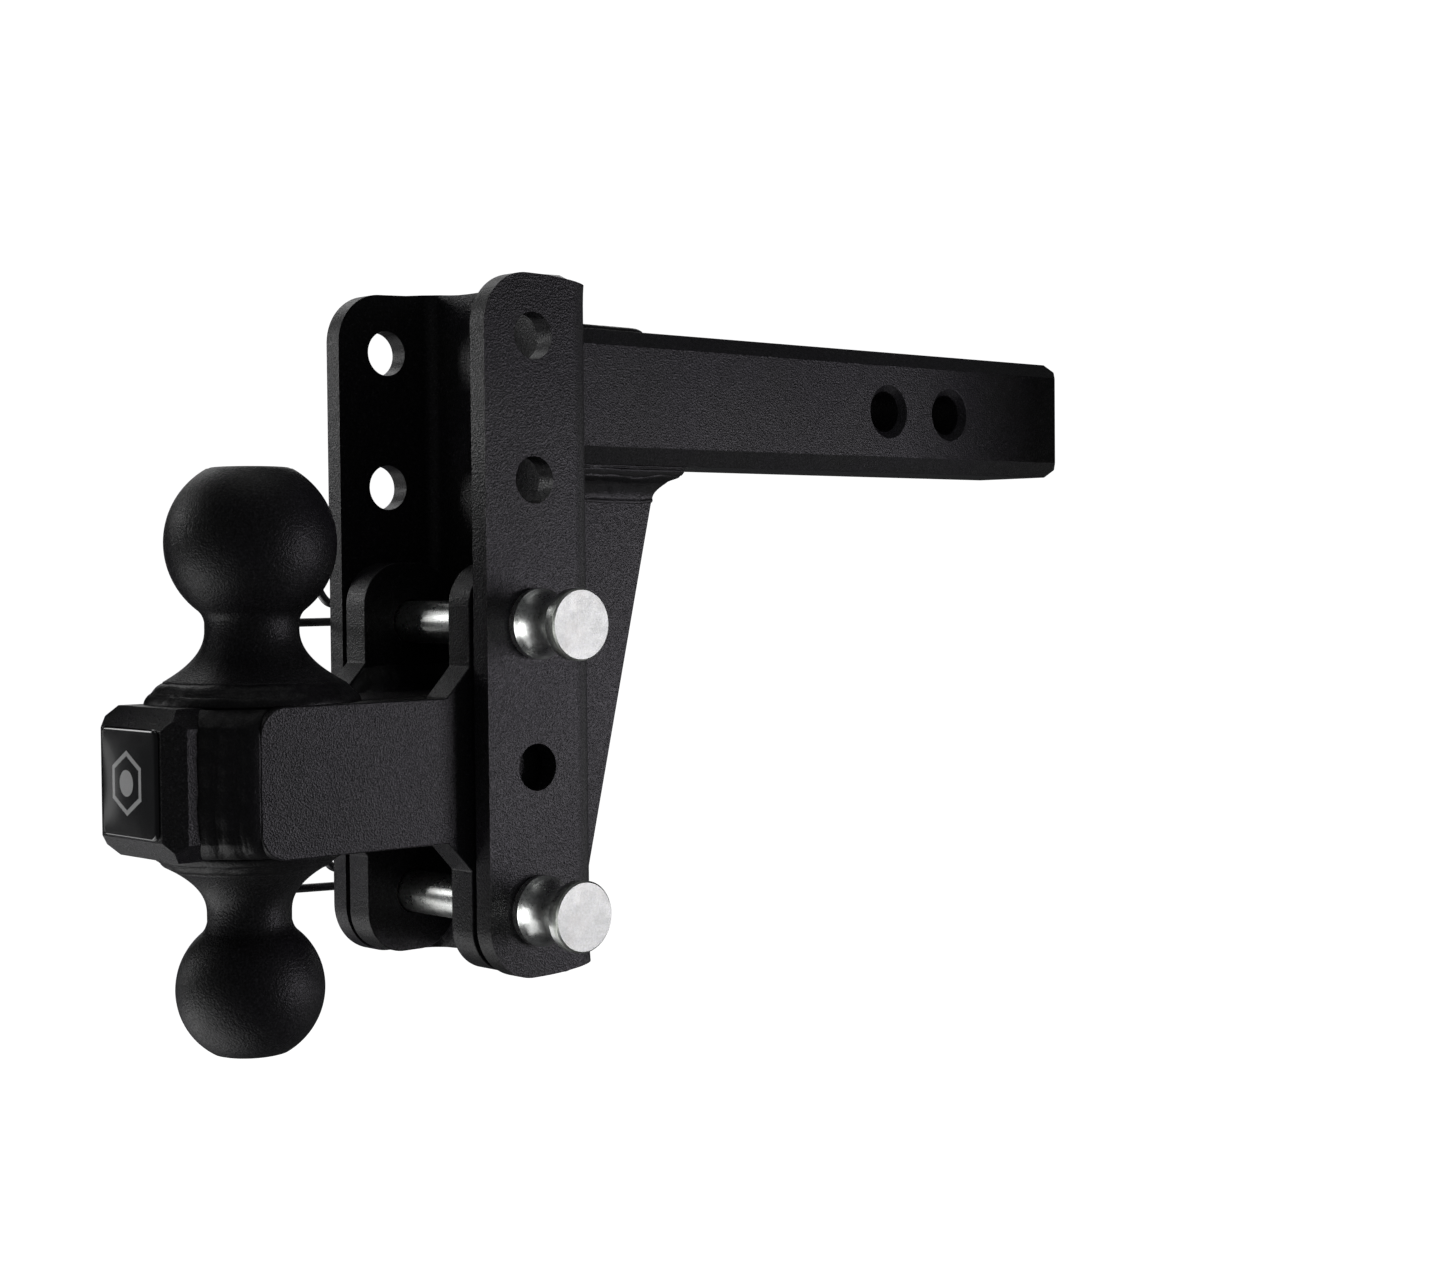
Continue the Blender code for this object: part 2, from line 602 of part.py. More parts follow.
def clevis_seam_welds():
    """Beads that fill the core bar's chamfers ahead of the ears, and fillets between the ears."""
    seam_start = FRONT_X - PLATE_TONGUE_OVERHANG + PLATE_TONGUE_R
    ear_end = FRONT_X + CORE_BACK_IN_CHANNEL
    off = GAP * math.sqrt(2)
    seam = [(BAR_FLAT + off, HALF_BAR), (HALF_BAR, HALF_BAR), (HALF_BAR, BAR_FLAT + off)]
    fillet = [(BAR_FLAT, HALF_BAR + GAP), (BAR_FLAT - CLEVIS_FILLET_ON_BAR, HALF_BAR + GAP),
              (HALF_BAR - 0.3 * CLEVIS_FILLET, HALF_BAR + 0.3 * CLEVIS_FILLET),
              (HALF_BAR, HALF_BAR + CLEVIS_FILLET), (HALF_BAR, BAR_FLAT + off)]
    for side, hand in ((1, "left"), (-1, "right")):
        for up, level in ((1, "upper"), (-1, "lower")):
            outline = [(side * y, up * z) for y, z in seam]
            finish("%s_seam_weld_%s" % (level, hand), prism(outline, "X", seam_start, FRONT_X - GAP),
                   BLACK_WELD, (0, 0, CORE_Z))
            outline = [(side * y, up * z) for y, z in fillet]
            finish("%s_clevis_fillet_%s" % (level, hand), prism(outline, "X", FRONT_X, ear_end),
                   BLACK_WELD, (0, 0, CORE_Z))


def build():
    clear_scene()
    shank()
    channel()
    gusset()
    core_bar()
    clevis_plates()
    upper_ball()
    lower_ball()
    badge()
    pin("upper_pin", UPPER_PIN_Z, 0.0)
    pin("lower_pin", LOWER_PIN_Z, LOWER_PIN_TURN_DEG)
    clip("upper_clip", UPPER_PIN_Z, 0.0)
    clip("lower_clip", LOWER_PIN_Z, LOWER_PIN_TURN_DEG)
    shank_side_welds()
    shank_top_weld()
    gusset_welds()
    ball_ring("upper_ball_weld", UPPER_BALL_X, UPPER_RING_INNER_R, UPPER_RING_OUTER_R, 1)
    ball_ring("lower_ball_weld", LOWER_BALL_X, LOWER_RING_INNER_R, LOWER_RING_OUTER_R, -1)
    plate_front_welds()
    clevis_seam_welds()


build()
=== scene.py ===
"""Looks of the adjustable drop hitch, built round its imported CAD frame.

Frame: metres, +Z up, +X towards the vehicle, origin at the centre of the shank's free end face.
Left is +Y and right is -Y, as seen by someone who faces along +X.
"""

import json
import math

import bmesh
import bpy
from mathutils import Matrix, Vector, noise

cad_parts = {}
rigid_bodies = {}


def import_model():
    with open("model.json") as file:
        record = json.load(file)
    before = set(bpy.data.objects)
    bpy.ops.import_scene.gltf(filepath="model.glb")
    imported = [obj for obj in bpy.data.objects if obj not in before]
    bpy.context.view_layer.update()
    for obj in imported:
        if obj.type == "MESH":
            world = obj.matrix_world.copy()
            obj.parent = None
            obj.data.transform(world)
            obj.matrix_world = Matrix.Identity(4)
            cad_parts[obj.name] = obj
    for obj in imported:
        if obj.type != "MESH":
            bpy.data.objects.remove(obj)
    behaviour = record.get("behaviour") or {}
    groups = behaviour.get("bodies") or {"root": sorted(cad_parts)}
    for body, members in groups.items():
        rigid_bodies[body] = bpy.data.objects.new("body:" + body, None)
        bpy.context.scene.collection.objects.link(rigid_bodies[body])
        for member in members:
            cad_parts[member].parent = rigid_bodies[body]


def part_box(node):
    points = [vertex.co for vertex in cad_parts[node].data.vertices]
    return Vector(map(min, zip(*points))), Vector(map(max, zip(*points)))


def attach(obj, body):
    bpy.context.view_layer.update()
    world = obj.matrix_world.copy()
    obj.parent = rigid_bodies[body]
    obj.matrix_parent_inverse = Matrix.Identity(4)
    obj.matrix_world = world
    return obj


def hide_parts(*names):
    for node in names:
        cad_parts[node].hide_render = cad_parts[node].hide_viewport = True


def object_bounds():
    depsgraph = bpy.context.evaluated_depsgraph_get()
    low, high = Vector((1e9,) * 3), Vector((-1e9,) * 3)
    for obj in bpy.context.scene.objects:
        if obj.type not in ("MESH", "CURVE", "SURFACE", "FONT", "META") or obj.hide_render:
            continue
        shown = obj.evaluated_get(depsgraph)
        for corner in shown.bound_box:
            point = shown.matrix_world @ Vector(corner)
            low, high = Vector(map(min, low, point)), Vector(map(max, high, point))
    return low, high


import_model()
cad_low, cad_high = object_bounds()

# ---------------------------------------------------------------- sizes read from the frame
SHANK_LOW, SHANK_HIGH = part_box("shank")
CHANNEL_LOW, CHANNEL_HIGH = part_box("channel")
GUSSET_LOW, GUSSET_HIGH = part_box("gusset")
CORE_LOW, CORE_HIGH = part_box("core_bar")
PLATE_LOW, PLATE_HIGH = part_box("clevis_plate_right")

HALF_BAR = SHANK_HIGH.z
CHAMFER = 0.00635
HOLE_R = 0.0084
COUNTERSINK_R = 0.0112
RECEIVER_HOLES_X = (-0.0778, -0.1159)
BACK_X = CHANNEL_HIGH.x
FRONT_X = CHANNEL_LOW.x
CHANNEL_Y = CHANNEL_HIGH.y
CHANNEL_THICK = 0.008
BEND_R = 0.0127
CHANNEL_CORNER_R = 0.019
HOLE_X = FRONT_X + 0.0216
TOP_HOLE_Z = 0.0174
CLIP_Y = 0.0562                         # the pin's cross hole and the clip in it
HOLE_PITCH = 0.0508
HOLE_COUNT = 5
UPPER_PIN_Z = TOP_HOLE_Z - 2 * HOLE_PITCH
LOWER_PIN_Z = TOP_HOLE_Z - 4 * HOLE_PITCH
LOWER_PIN_TURN = math.radians(2.1)
CORE_Z = (UPPER_PIN_Z + LOWER_PIN_Z) / 2
GUSSET_HALF = GUSSET_HIGH.y
GUSSET_FOOT = 0.0197                    # length of the gusset's lower edge
UPPER_BALL_X = FRONT_X - 0.0643
LOWER_BALL_X = FRONT_X - 0.0669
PLATE_Y_IN = PLATE_HIGH.y              # inner face of the right-hand plate, negative
PLATE_Y_OUT = PLATE_LOW.y

SMOOTH_STEPS = 96                       # sides of a turned piece
HOLE_STEPS = 72                         # sides of a drilled hole
EDGE_SEGMENTS = 3                       # facets across a rounded edge
EDGE_ANGLE = 28                         # edges sharper than this, in degrees, are rounded


# ---------------------------------------------------------------- mesh tools
def arc(centre, radius, start_deg, end_deg, steps):
    points = []
    for i in range(steps + 1):
        angle = math.radians(start_deg + (end_deg - start_deg) * i / steps)
        points.append((centre[0] + radius * math.cos(angle), centre[1] + radius * math.sin(angle)))
    return points


def to_mesh(name, work):
    bmesh.ops.remove_doubles(work, verts=work.verts, dist=1e-7)
    bmesh.ops.recalc_face_normals(work, faces=work.faces)
    mesh = bpy.data.meshes.new(name)
    work.to_mesh(mesh)
    work.free()
    return mesh


def piece(name, work, material, nodes, body="hitch", place=(0, 0, 0), turn=0.0):
    """A shown piece that stands for CAD nodes and rides on a body."""
    mesh = to_mesh(name, work)
    mesh.shade_smooth()
    mesh.materials.append(material)
    obj = bpy.data.objects.new(name, mesh)
    obj.location = place
    obj.rotation_euler.y = turn
    bpy.context.scene.collection.objects.link(obj)
    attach(obj, body)
    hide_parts(*nodes)
    return obj


def soften(obj, width):
    """Rounds the sharp edges and keeps the flats flat."""
    bevel = obj.modifiers.new("edge", "BEVEL")
    bevel.width = width
    bevel.segments = EDGE_SEGMENTS
    bevel.limit_method = "ANGLE"
    bevel.angle_limit = math.radians(EDGE_ANGLE)
    bevel.use_clamp_overlap = True
    bevel.harden_normals = False
    flat = obj.modifiers.new("flat", "WEIGHTED_NORMAL")
    flat.weight = 100
    flat.keep_sharp = False


def carve(obj, work):
    """Cuts a solid out of a piece, for good."""
    cutter = bpy.data.objects.new("cutter", to_mesh("cutter", work))
    bpy.context.scene.collection.objects.link(cutter)
    change = obj.modifiers.new("cut", "BOOLEAN")
    change.operation = "DIFFERENCE"
    change.solver = "EXACT"
    change.object = cutter
    bpy.context.view_layer.update()
    graph = bpy.context.evaluated_depsgraph_get()
    made = bpy.data.meshes.new_from_object(obj.evaluated_get(graph))
    obj.modifiers.clear()
    old = obj.data
    obj.data = made
    bpy.data.meshes.remove(old)
    bpy.data.objects.remove(cutter)
    obj.data.shade_smooth()


def drill(obj, z, reach):
    """A pin hole through a piece, from -reach to reach along Y."""
    work = turned([(0, -reach), (HOLE_R, -reach), (HOLE_R, reach), (0, reach)], HOLE_STEPS, "Y")
    bmesh.ops.translate(work, verts=work.verts, vec=(HOLE_X, 0, z))
    carve(obj, work)


def prism(outline, axis, low, high):
    """Extrude a closed outline along X, Y or Z; the outline gives the other two coordinates in order."""
    def place(pair, level):
        coords = list(pair)
        coords.insert("XYZ".index(axis), level)
        return coords
    work = bmesh.new()
    bottom = [work.verts.new(place(pair, low)) for pair in outline]
    top = [work.verts.new(place(pair, high)) for pair in outline]
    work.faces.new(bottom)
    work.faces.new(top)
    count = len(outline)
    for i in range(count):
        after = (i + 1) % count
        work.faces.new((bottom[i], bottom[after], top[after], top[i]))
    return work


def skin(sections, closed_path=False):
    """A closed surface through closed sections that all have the same number of points."""
    work = bmesh.new()
    rings = [[work.verts.new(point) for point in section] for section in sections]
    pairs = list(zip(rings, rings[1:]))
    if closed_path:
        pairs.append((rings[-1], rings[0]))
    count = len(rings[0])
    for first, second in pairs:
        for i in range(count):
            after = (i + 1) % count
            work.faces.new((first[i], first[after], second[after], second[i]))
    if not closed_path:
        work.faces.new(rings[0])
        work.faces.new(rings[-1])
    return work


def turned(profile, steps=SMOOTH_STEPS, axis="Z"):
    """Spin (radius, height) pairs; zero radius closes an end."""
    work = bmesh.new()
    rings = []
    for radius, height in profile:
        if radius < 1e-7:
            rings.append([work.verts.new((0, 0, height))])
            continue
        ring = []
        for i in range(steps):
            a = 2 * math.pi * i / steps
            ring.append(work.verts.new((radius * math.cos(a), radius * math.sin(a), height)))
        rings.append(ring)
    for first, second in zip(rings, rings[1:]):
        for i in range(steps):
            after = (i + 1) % steps
            if len(first) == 1:
                work.faces.new((first[0], second[i], second[after]))
            elif len(second) == 1:
                work.faces.new((first[i], second[0], first[after]))
            else:
                work.faces.new((first[i], second[i], second[after], first[after]))
    if axis == "Y":
        bmesh.ops.rotate(work, verts=work.verts, matrix=Matrix.Rotation(math.radians(-90), 3, "X"))
    return work


def rough(point, scale, seed):
    """Smooth noise about zero, the same on each run."""
    return noise.noise(Vector(point) * scale + Vector((seed, seed * 1.7, -seed)))


# ---------------------------------------------------------------- materials
class Nodes:
    """Short names for making nodes of one material."""

    def __init__(self, name):
        self.material = bpy.data.materials.new(name)
        self.material.use_nodes = True
        self.tree = self.material.node_tree
        self.shader = self.tree.nodes["Principled BSDF"]
        self.place = self.tree.nodes.new("ShaderNodeTexCoord").outputs["Object"]

    def set(self, **values):
        for key, value in values.items():
            self.shader.inputs[key.replace("_", " ")].default_value = value

    def link(self, source, target):
        self.tree.links.new(source, target)

    def feed(self, socket, value):
        if isinstance(value, bpy.types.NodeSocket):
            self.link(value, socket)
        else:
            socket.default_value = value

    def noise(self, scale, detail=2.0, roughness=0.5, source=None, distortion=0.0):
        node = self.tree.nodes.new("ShaderNodeTexNoise")
        node.inputs["Scale"].default_value = scale
        node.inputs["Detail"].default_value = detail
        node.inputs["Roughness"].default_value = roughness
        node.inputs["Distortion"].default_value = distortion
        self.link(source or self.place, node.inputs["Vector"])
        return node.outputs["Fac"]

    def math(self, operation, a, b=0.0):
        node = self.tree.nodes.new("ShaderNodeMath")
        node.operation = operation
        self.feed(node.inputs[0], a)
        self.feed(node.inputs[1], b)
        return node.outputs[0]

    def spread(self, value, low, high, to_low, to_high):
        node = self.tree.nodes.new("ShaderNodeMapRange")
        self.link(value, node.inputs["Value"])
        for key, number in (("From Min", low), ("From Max", high), ("To Min", to_low), ("To Max", to_high)):
            node.inputs[key].default_value = number
        return node.outputs["Result"]

    def blend(self, factor, first, second):
        node = self.tree.nodes.new("ShaderNodeMix")
        node.data_type = "RGBA"
        self.feed(node.inputs["Factor"], factor)
        self.feed(node.inputs["A"], first)
        self.feed(node.inputs["B"], second)
        return node.outputs["Result"]

    def axes(self):
        node = self.tree.nodes.new("ShaderNodeSeparateXYZ")
        self.link(self.place, node.inputs[0])
        return node.outputs

    def stretch(self, scale):
        node = self.tree.nodes.new("ShaderNodeMapping")
        node.inputs["Scale"].default_value = scale
        self.link(self.place, node.inputs["Vector"])
        return node.outputs[0]

    def bump(self, height, strength, distance):
        node = self.tree.nodes.new("ShaderNodeBump")
        node.inputs["Strength"].default_value = strength
        node.inputs["Distance"].default_value = distance
        self.link(height, node.inputs["Height"])
        return node.outputs[0]


def grey(value, tint=0.06):
    """A dark grey that leans a little to blue."""
    return (value, value * (1 - tint * 0.5), value * (1 + tint), 1.0)


def coat(name, dark, light, rough_low, rough_high, grain, depth):
    """Black powder coat as it leaves the oven: fine grain, pinhead speckle and broad cloudiness."""
    n = Nodes(name)
    fine = n.noise(grain, 1.5, 0.5)
    coarse = n.noise(grain * 0.5, 2.0, 0.5)
    cloud = n.noise(14.0, 3.0, 0.55)
    patch = n.noise(30.0, 2.0, 0.5)
    speck = n.spread(n.noise(grain * 0.7, 1.0, 0.4), 0.60, 0.72, 0.0, 0.7)
    cool = n.blend(n.spread(patch, 0.38, 0.62, 0.0, 1.0), grey(dark, 0.01), grey(dark, 0.16))
    bright = n.blend(n.spread(patch, 0.38, 0.62, 0.0, 1.0), grey(light, 0.01), grey(light, 0.16))
    shade = n.blend(n.spread(fine, 0.34, 0.66, 0.0, 1.0), cool, bright)
    shade = n.blend(speck, shade, grey(light * 1.9, 0.04))
    shade = n.blend(n.spread(cloud, 0.3, 0.7, 0.0, 0.35), shade, grey(dark * 0.8))
    n.link(shade, n.shader.inputs["Base Color"])
    base = n.spread(cloud, 0.3, 0.7, rough_low, rough_high)
    n.link(n.math("ADD", base, n.spread(fine, 0.3, 0.7, 0.09, -0.09)), n.shader.inputs["Roughness"])
    height = n.math("ADD", fine, n.math("MULTIPLY", coarse, 0.25))
    n.link(n.bump(height, 0.9, depth), n.shader.inputs["Normal"])
    return n.material


def zinc(name):
    """Bright zinc on turned steel: crystals, faint turning rings, cloudy stains and small scratches."""
    n = Nodes(name)
    x, y, z = n.axes()
    radius = n.math("SQRT", n.math("ADD", n.math("MULTIPLY", x, x), n.math("MULTIPLY", z, z)))
    turns = n.math("ADD", n.math("MULTIPLY", radius, 14000.0), n.math("MULTIPLY", y, 9000.0))
    jitter = n.math("MULTIPLY", n.noise(160.0, 2.0), 9.0)
    rings = n.math("SINE", n.math("ADD", turns, jitter))
    crystal = n.noise(950.0, 3.0, 0.65)
    end_face = n.spread(y, -0.0716, -0.0712, 1.0, 0.0)     # the head's end and 2 mm of its rim
    stain = n.noise(150.0, 4.0, 0.6, distortion=0.6)
    clear = n.blend(end_face, (0.91, 0.92, 0.90, 1), (0.78, 0.81, 0.74, 1))
    dull = n.blend(end_face, (0.84, 0.85, 0.83, 1), (0.68, 0.71, 0.65, 1))
    shade = n.blend(n.spread(stain, 0.35, 0.68, 0.0, 0.7), clear, dull)
    shade = n.blend(n.spread(crystal, 0.50, 0.66, 0.0, 0.6), shade, (0.93, 0.94, 0.95, 1))
    shade = n.blend(n.spread(crystal, 0.34, 0.48, 0.6, 0.0), shade, (0.52, 0.55, 0.52, 1))
    fleck = n.noise(430.0, 3.0, 0.65)
    shade = n.blend(n.spread(fleck, 0.44, 0.62, 0.0, 0.40), shade, (0.60, 0.63, 0.60, 1))
    warm = n.spread(n.noise(90.0, 3.0, 0.6), 0.55, 0.75, 0.0, 0.35)
    shade = n.blend(warm, shade, (0.78, 0.76, 0.68, 1))
    n.link(shade, n.shader.inputs["Base Color"])
    base = n.math("ADD", n.spread(stain, 0.3, 0.7, 0.27, 0.33), n.math("MULTIPLY", end_face, 0.10))
    n.link(n.math("ADD", base, n.spread(crystal, 0.3, 0.7, -0.03, 0.03)), n.shader.inputs["Roughness"])
    scratch = n.noise(900.0, 2.0, 0.5, source=n.stretch((1.0, 0.35, 0.06)))
    relief = n.math("ADD", n.math("MULTIPLY", end_face, 0.80), 0.15)
    height = n.math("ADD", n.math("MULTIPLY", crystal, relief), n.math("MULTIPLY", rings, 0.08))
    height = n.math("ADD", height, n.math("MULTIPLY", scratch, 0.15))
    n.link(n.bump(height, 0.50, 0.00006), n.shader.inputs["Normal"])
    n.set(Metallic=1.0)
    return n.material


def spring_wire(name):
    """Drawn wire: fine lengthwise drawing marks and a dull grey skin."""
    n = Nodes(name)
    drawn = n.noise(700.0, 3.0, 0.6, source=n.stretch((0.08, 1.0, 1.0)))
    blotch = n.noise(120.0, 3.0, 0.6)
    shade = n.blend(n.spread(blotch, 0.3, 0.7, 0.0, 1.0), (0.20, 0.20, 0.205, 1), (0.34, 0.34, 0.345, 1))
    n.link(n.blend(n.spread(drawn, 0.5, 0.8, 0.0, 0.6), shade, (0.48, 0.48, 0.48, 1)),
           n.shader.inputs["Base Color"])
    n.link(n.spread(blotch, 0.3, 0.7, 0.22, 0.34), n.shader.inputs["Roughness"])
    n.link(n.bump(drawn, 0.3, 0.00005), n.shader.inputs["Normal"])
    n.set(Metallic=1.0)
    return n.material


def label_film(name):
    """Gloss black domed label with a plain pale nut outline under the clear skin."""
    n = Nodes(name)
    _, y, z = n.axes()
    up = n.math("ABSOLUTE", z)
    side = n.math("ABSOLUTE", y)
    slant = n.math("ADD", n.math("MULTIPLY", side, 0.5), n.math("MULTIPLY", up, 0.866))
    hexagon = n.math("MAXIMUM", side, slant)
    circle = n.math("SQRT", n.math("ADD", n.math("MULTIPLY", y, y), n.math("MULTIPLY", z, z)))

    def band(distance, inner, outer):
        soft = 0.00012
        rise = n.spread(distance, inner - soft, inner + soft, 0.0, 1.0)
        fall = n.spread(distance, outer - soft, outer + soft, 1.0, 0.0)
        return n.math("MULTIPLY", rise, fall)

    mark = n.math("MAXIMUM", band(hexagon, 0.0078, 0.0094), band(circle, 0.0, 0.0044))
    flake = n.noise(2600.0, 2.0, 0.6)
    film = n.blend(n.spread(flake, 0.4, 0.7, 0.0, 1.0), (0.010, 0.010, 0.011, 1), (0.020, 0.020, 0.022, 1))
    ink = n.blend(n.spread(flake, 0.3, 0.7, 0.0, 1.0), (0.78, 0.78, 0.78, 1), (0.88, 0.88, 0.88, 1))
    n.link(n.blend(mark, film, ink), n.shader.inputs["Base Color"])
    n.link(n.spread(n.noise(60.0, 3.0, 0.6), 0.3, 0.7, 0.10, 0.20), n.shader.inputs["Roughness"])
    n.link(n.bump(n.noise(220.0, 2.0), 0.12, 0.0001), n.shader.inputs["Normal"])
    n.set(Coat_Weight=1.0, Coat_Roughness=0.10)
    return n.material


STEEL = coat("powder_coat_black", 0.007, 0.052, 0.31, 0.37, 1500.0, 0.00023)
BALL = coat("ball_coat_black", 0.007, 0.042, 0.38, 0.44, 1350.0, 0.00027)
# The welds' coat is the same black powder coat with finer grain and bump. Its darker tone all over is
# painted shade for the runs that sit in corners.
WELD_SHADED = coat("weld_coat_black", 0.009, 0.022, 0.36, 0.43, 1350.0, 0.00014)
ZINC = zinc("zinc_bright")
WIRE = spring_wire("wire_drawn")
FILM = label_film("label_gloss")


# ---------------------------------------------------------------- bars
def bar_section(half_y, half_z, chamfer):
    flat_y = half_y - chamfer
    flat_z = half_z - chamfer
    return [(-flat_y, -half_z), (flat_y, -half_z), (half_y, -flat_z), (half_y, flat_z),
            (flat_y, half_z), (-flat_y, half_z), (-half_y, flat_z), (-half_y, -flat_z)]


def bar(name, worked_x, plain_x, centre_z, end_y, end_z):
    """A chamfered square bar along X; each flat of the worked end is cut back by end_y or end_z."""
    inward = math.copysign(1.0, plain_x - worked_x)
    share = (end_y + end_z - CHAMFER) / (end_y + end_z)
    sharp = 0.0003
    small = bar_section(HALF_BAR - end_y, HALF_BAR - end_z, sharp)
    middle = bar_section(HALF_BAR - end_y * (1 - share), HALF_BAR - end_z * (1 - share), sharp)
    full = bar_section(HALF_BAR, HALF_BAR, CHAMFER)
    stations = [(worked_x, small), (worked_x + inward * CHAMFER * share, middle),
                (worked_x + inward * CHAMFER, full), (plain_x, full)]
    sections = [[(x, y, z + centre_z) for y, z in section] for x, section in stations]
    return piece(name, skin(sections), STEEL, [name])


def shank():
    obj = bar("shank", SHANK_HIGH.x, SHANK_LOW.x, 0.0, CHAMFER, CHAMFER)
    depth = HALF_BAR - (COUNTERSINK_R - HOLE_R)
    reach = HALF_BAR + 0.001
    flare = COUNTERSINK_R + 0.001
    for x in RECEIVER_HOLES_X:
        work = turned([(0, -reach), (flare, -reach), (HOLE_R, -depth), (HOLE_R, depth), (flare, reach),
                       (0, reach)], HOLE_STEPS, "Y")
        bmesh.ops.translate(work, verts=work.verts, vec=(x, 0, 0))
        carve(obj, work)
    soften(obj, 0.0005)


def core_bar():
    obj = bar("core_bar", CORE_LOW.x, CORE_HIGH.x, CORE_Z, 0.0056, 0.0070)
    soften(obj, 0.0005)


# ---------------------------------------------------------------- channel and gusset
def channel_path():
    """Points round the U in plan, outside then inside.

    Each is (x, y, distance from the nearest bend's middle, that bend's radius).
    """
    inner_r = BEND_R - CHANNEL_THICK
    cx = BACK_X - BEND_R
    cy = CHANNEL_Y - BEND_R
    inner_y = CHANNEL_Y - CHANNEL_THICK
    steps = 20
    flat_x = [FRONT_X + (cx - FRONT_X) * i / 10 for i in range(10)]
    web = [-cy + 2 * cy * i / 12 for i in range(1, 12)]

    def side(y_of_side, r, web_x):
        points = []
        for x in flat_x:
            points.append((x, -y_of_side, (cx - x) + r * math.pi / 4, r))
        for i in range(steps + 1):
            a = math.radians(-90 + 90 * i / steps)
            away = abs(i / steps - 0.5) * r * math.pi / 2
            points.append((cx + r * math.cos(a), -cy + r * math.sin(a), away, r))
        for y in web:
            points.append((web_x, y, min(cy - y, cy + y) + r * math.pi / 4, r))
        for i in range(steps + 1):
            a = math.radians(90 * i / steps)
            away = abs(i / steps - 0.5) * r * math.pi / 2
            points.append((cx + r * math.cos(a), cy + r * math.sin(a), away, r))
        for x in reversed(flat_x):
            points.append((x, y_of_side, (cx - x) + r * math.pi / 4, r))
        return points

    return side(CHANNEL_Y, BEND_R, BACK_X) + list(reversed(side(inner_y, inner_r, BACK_X - CHANNEL_THICK)))


def channel():
    """The bent U. Bending draws the cut edges in at the outside of each bend and pushes them out inside."""
    outer_dip, outer_spread = 0.0021, 0.0135
    inner_rise, inner_spread = 0.0014, 0.011
    outer_bulge, bulge_spread = 0.00035, 0.008
    edge_zone = 0.03                    # share of the height at each end that bulges
    path = channel_path()
    low, high = CHANNEL_LOW.z, CHANNEL_HIGH.z
    middle = [0.03 + 0.94 * i / 36 for i in range(1, 36)]
    levels = [0.0, 0.012, 0.03] + middle + [0.97, 0.988, 1.0]
    sections = []
    for share in levels:
        section = []
        for x, y, away, r in path:
            if r == BEND_R:
                dip = outer_dip * math.exp(-(away / outer_spread) ** 2)
                bulge = outer_bulge * math.exp(-(away / bulge_spread) ** 2)
            else:
                dip = -inner_rise * math.exp(-(away / inner_spread) ** 2)
                bulge = 0.0
            near_edge = max(0.0, 1 - min(share, 1 - share) / edge_zone)
            z = low + dip + (high - low - 2 * dip) * share
            grow = bulge * near_edge ** 2
            push_x = grow if x > BACK_X - BEND_R else 0.0
            push_y = math.copysign(grow, y) if abs(y) > CHANNEL_Y - BEND_R else 0.0
            section.append((x + push_x * 0.3, y + push_y, z))
        sections.append(section)
    obj = piece("channel", skin(sections), STEEL, ["channel"])
    margin = 0.004
    radius = CHANNEL_CORNER_R
    reach = CHANNEL_Y + 0.002
    for edge_z, up in ((high, 1), (low, -1)):
        centre = (FRONT_X + radius, edge_z - up * radius)
        points = arc(centre, radius, 180, 180 - up * 90, 28)
        points += [(centre[0], edge_z + up * margin), (FRONT_X - margin, edge_z + up * margin)]
        points.append((FRONT_X - margin, centre[1]))
        carve(obj, prism(points, "Y", -reach, reach))
    for i in range(HOLE_COUNT):
        drill(obj, TOP_HOLE_Z - i * HOLE_PITCH, reach)
    soften(obj, 0.00045)


def gusset():
    top, foot = GUSSET_HIGH.z, GUSSET_LOW.z
    near = GUSSET_LOW.x
    foot_x = near + GUSSET_FOOT
    outline = [(near, foot), (foot_x, foot), (GUSSET_HIGH.x, top), (near, top)]
    obj = piece("gusset", prism(outline, "Y", -GUSSET_HALF, GUSSET_HALF), STEEL, ["gusset"])
    soften(obj, 0.0006)


# ---------------------------------------------------------------- ball mount
def clevis_plates():
    tongue_x = PLATE_LOW.x
    back_x = PLATE_HIGH.x
    r = 0.010
    half = 0.0254
    ear = PLATE_HIGH.z - CORE_Z
    ear_r = 0.016
    upper = arc((tongue_x + r, half - r), r, 180, 90, 16)
    upper += [(FRONT_X - 0.0100, half), (FRONT_X, 0.036)]
    upper += arc((FRONT_X + ear_r, ear - ear_r), ear_r, 180, 90, 20)
    upper += arc((back_x - ear_r, ear - ear_r), ear_r, 90, 0, 20)
    outline = upper + [(x, -z) for x, z in reversed(upper)]
    outline = [(x, z + CORE_Z) for x, z in outline]
    for side, name in ((1, "clevis_plate_left"), (-1, "clevis_plate_right")):
        low, high = sorted((-side * PLATE_Y_IN, -side * PLATE_Y_OUT))
        obj = piece(name, prism(outline, "Y", low, high), STEEL, [name])
        for z in (UPPER_PIN_Z, LOWER_PIN_Z):
            drill(obj, z, CHANNEL_Y)
        soften(obj, 0.0005)


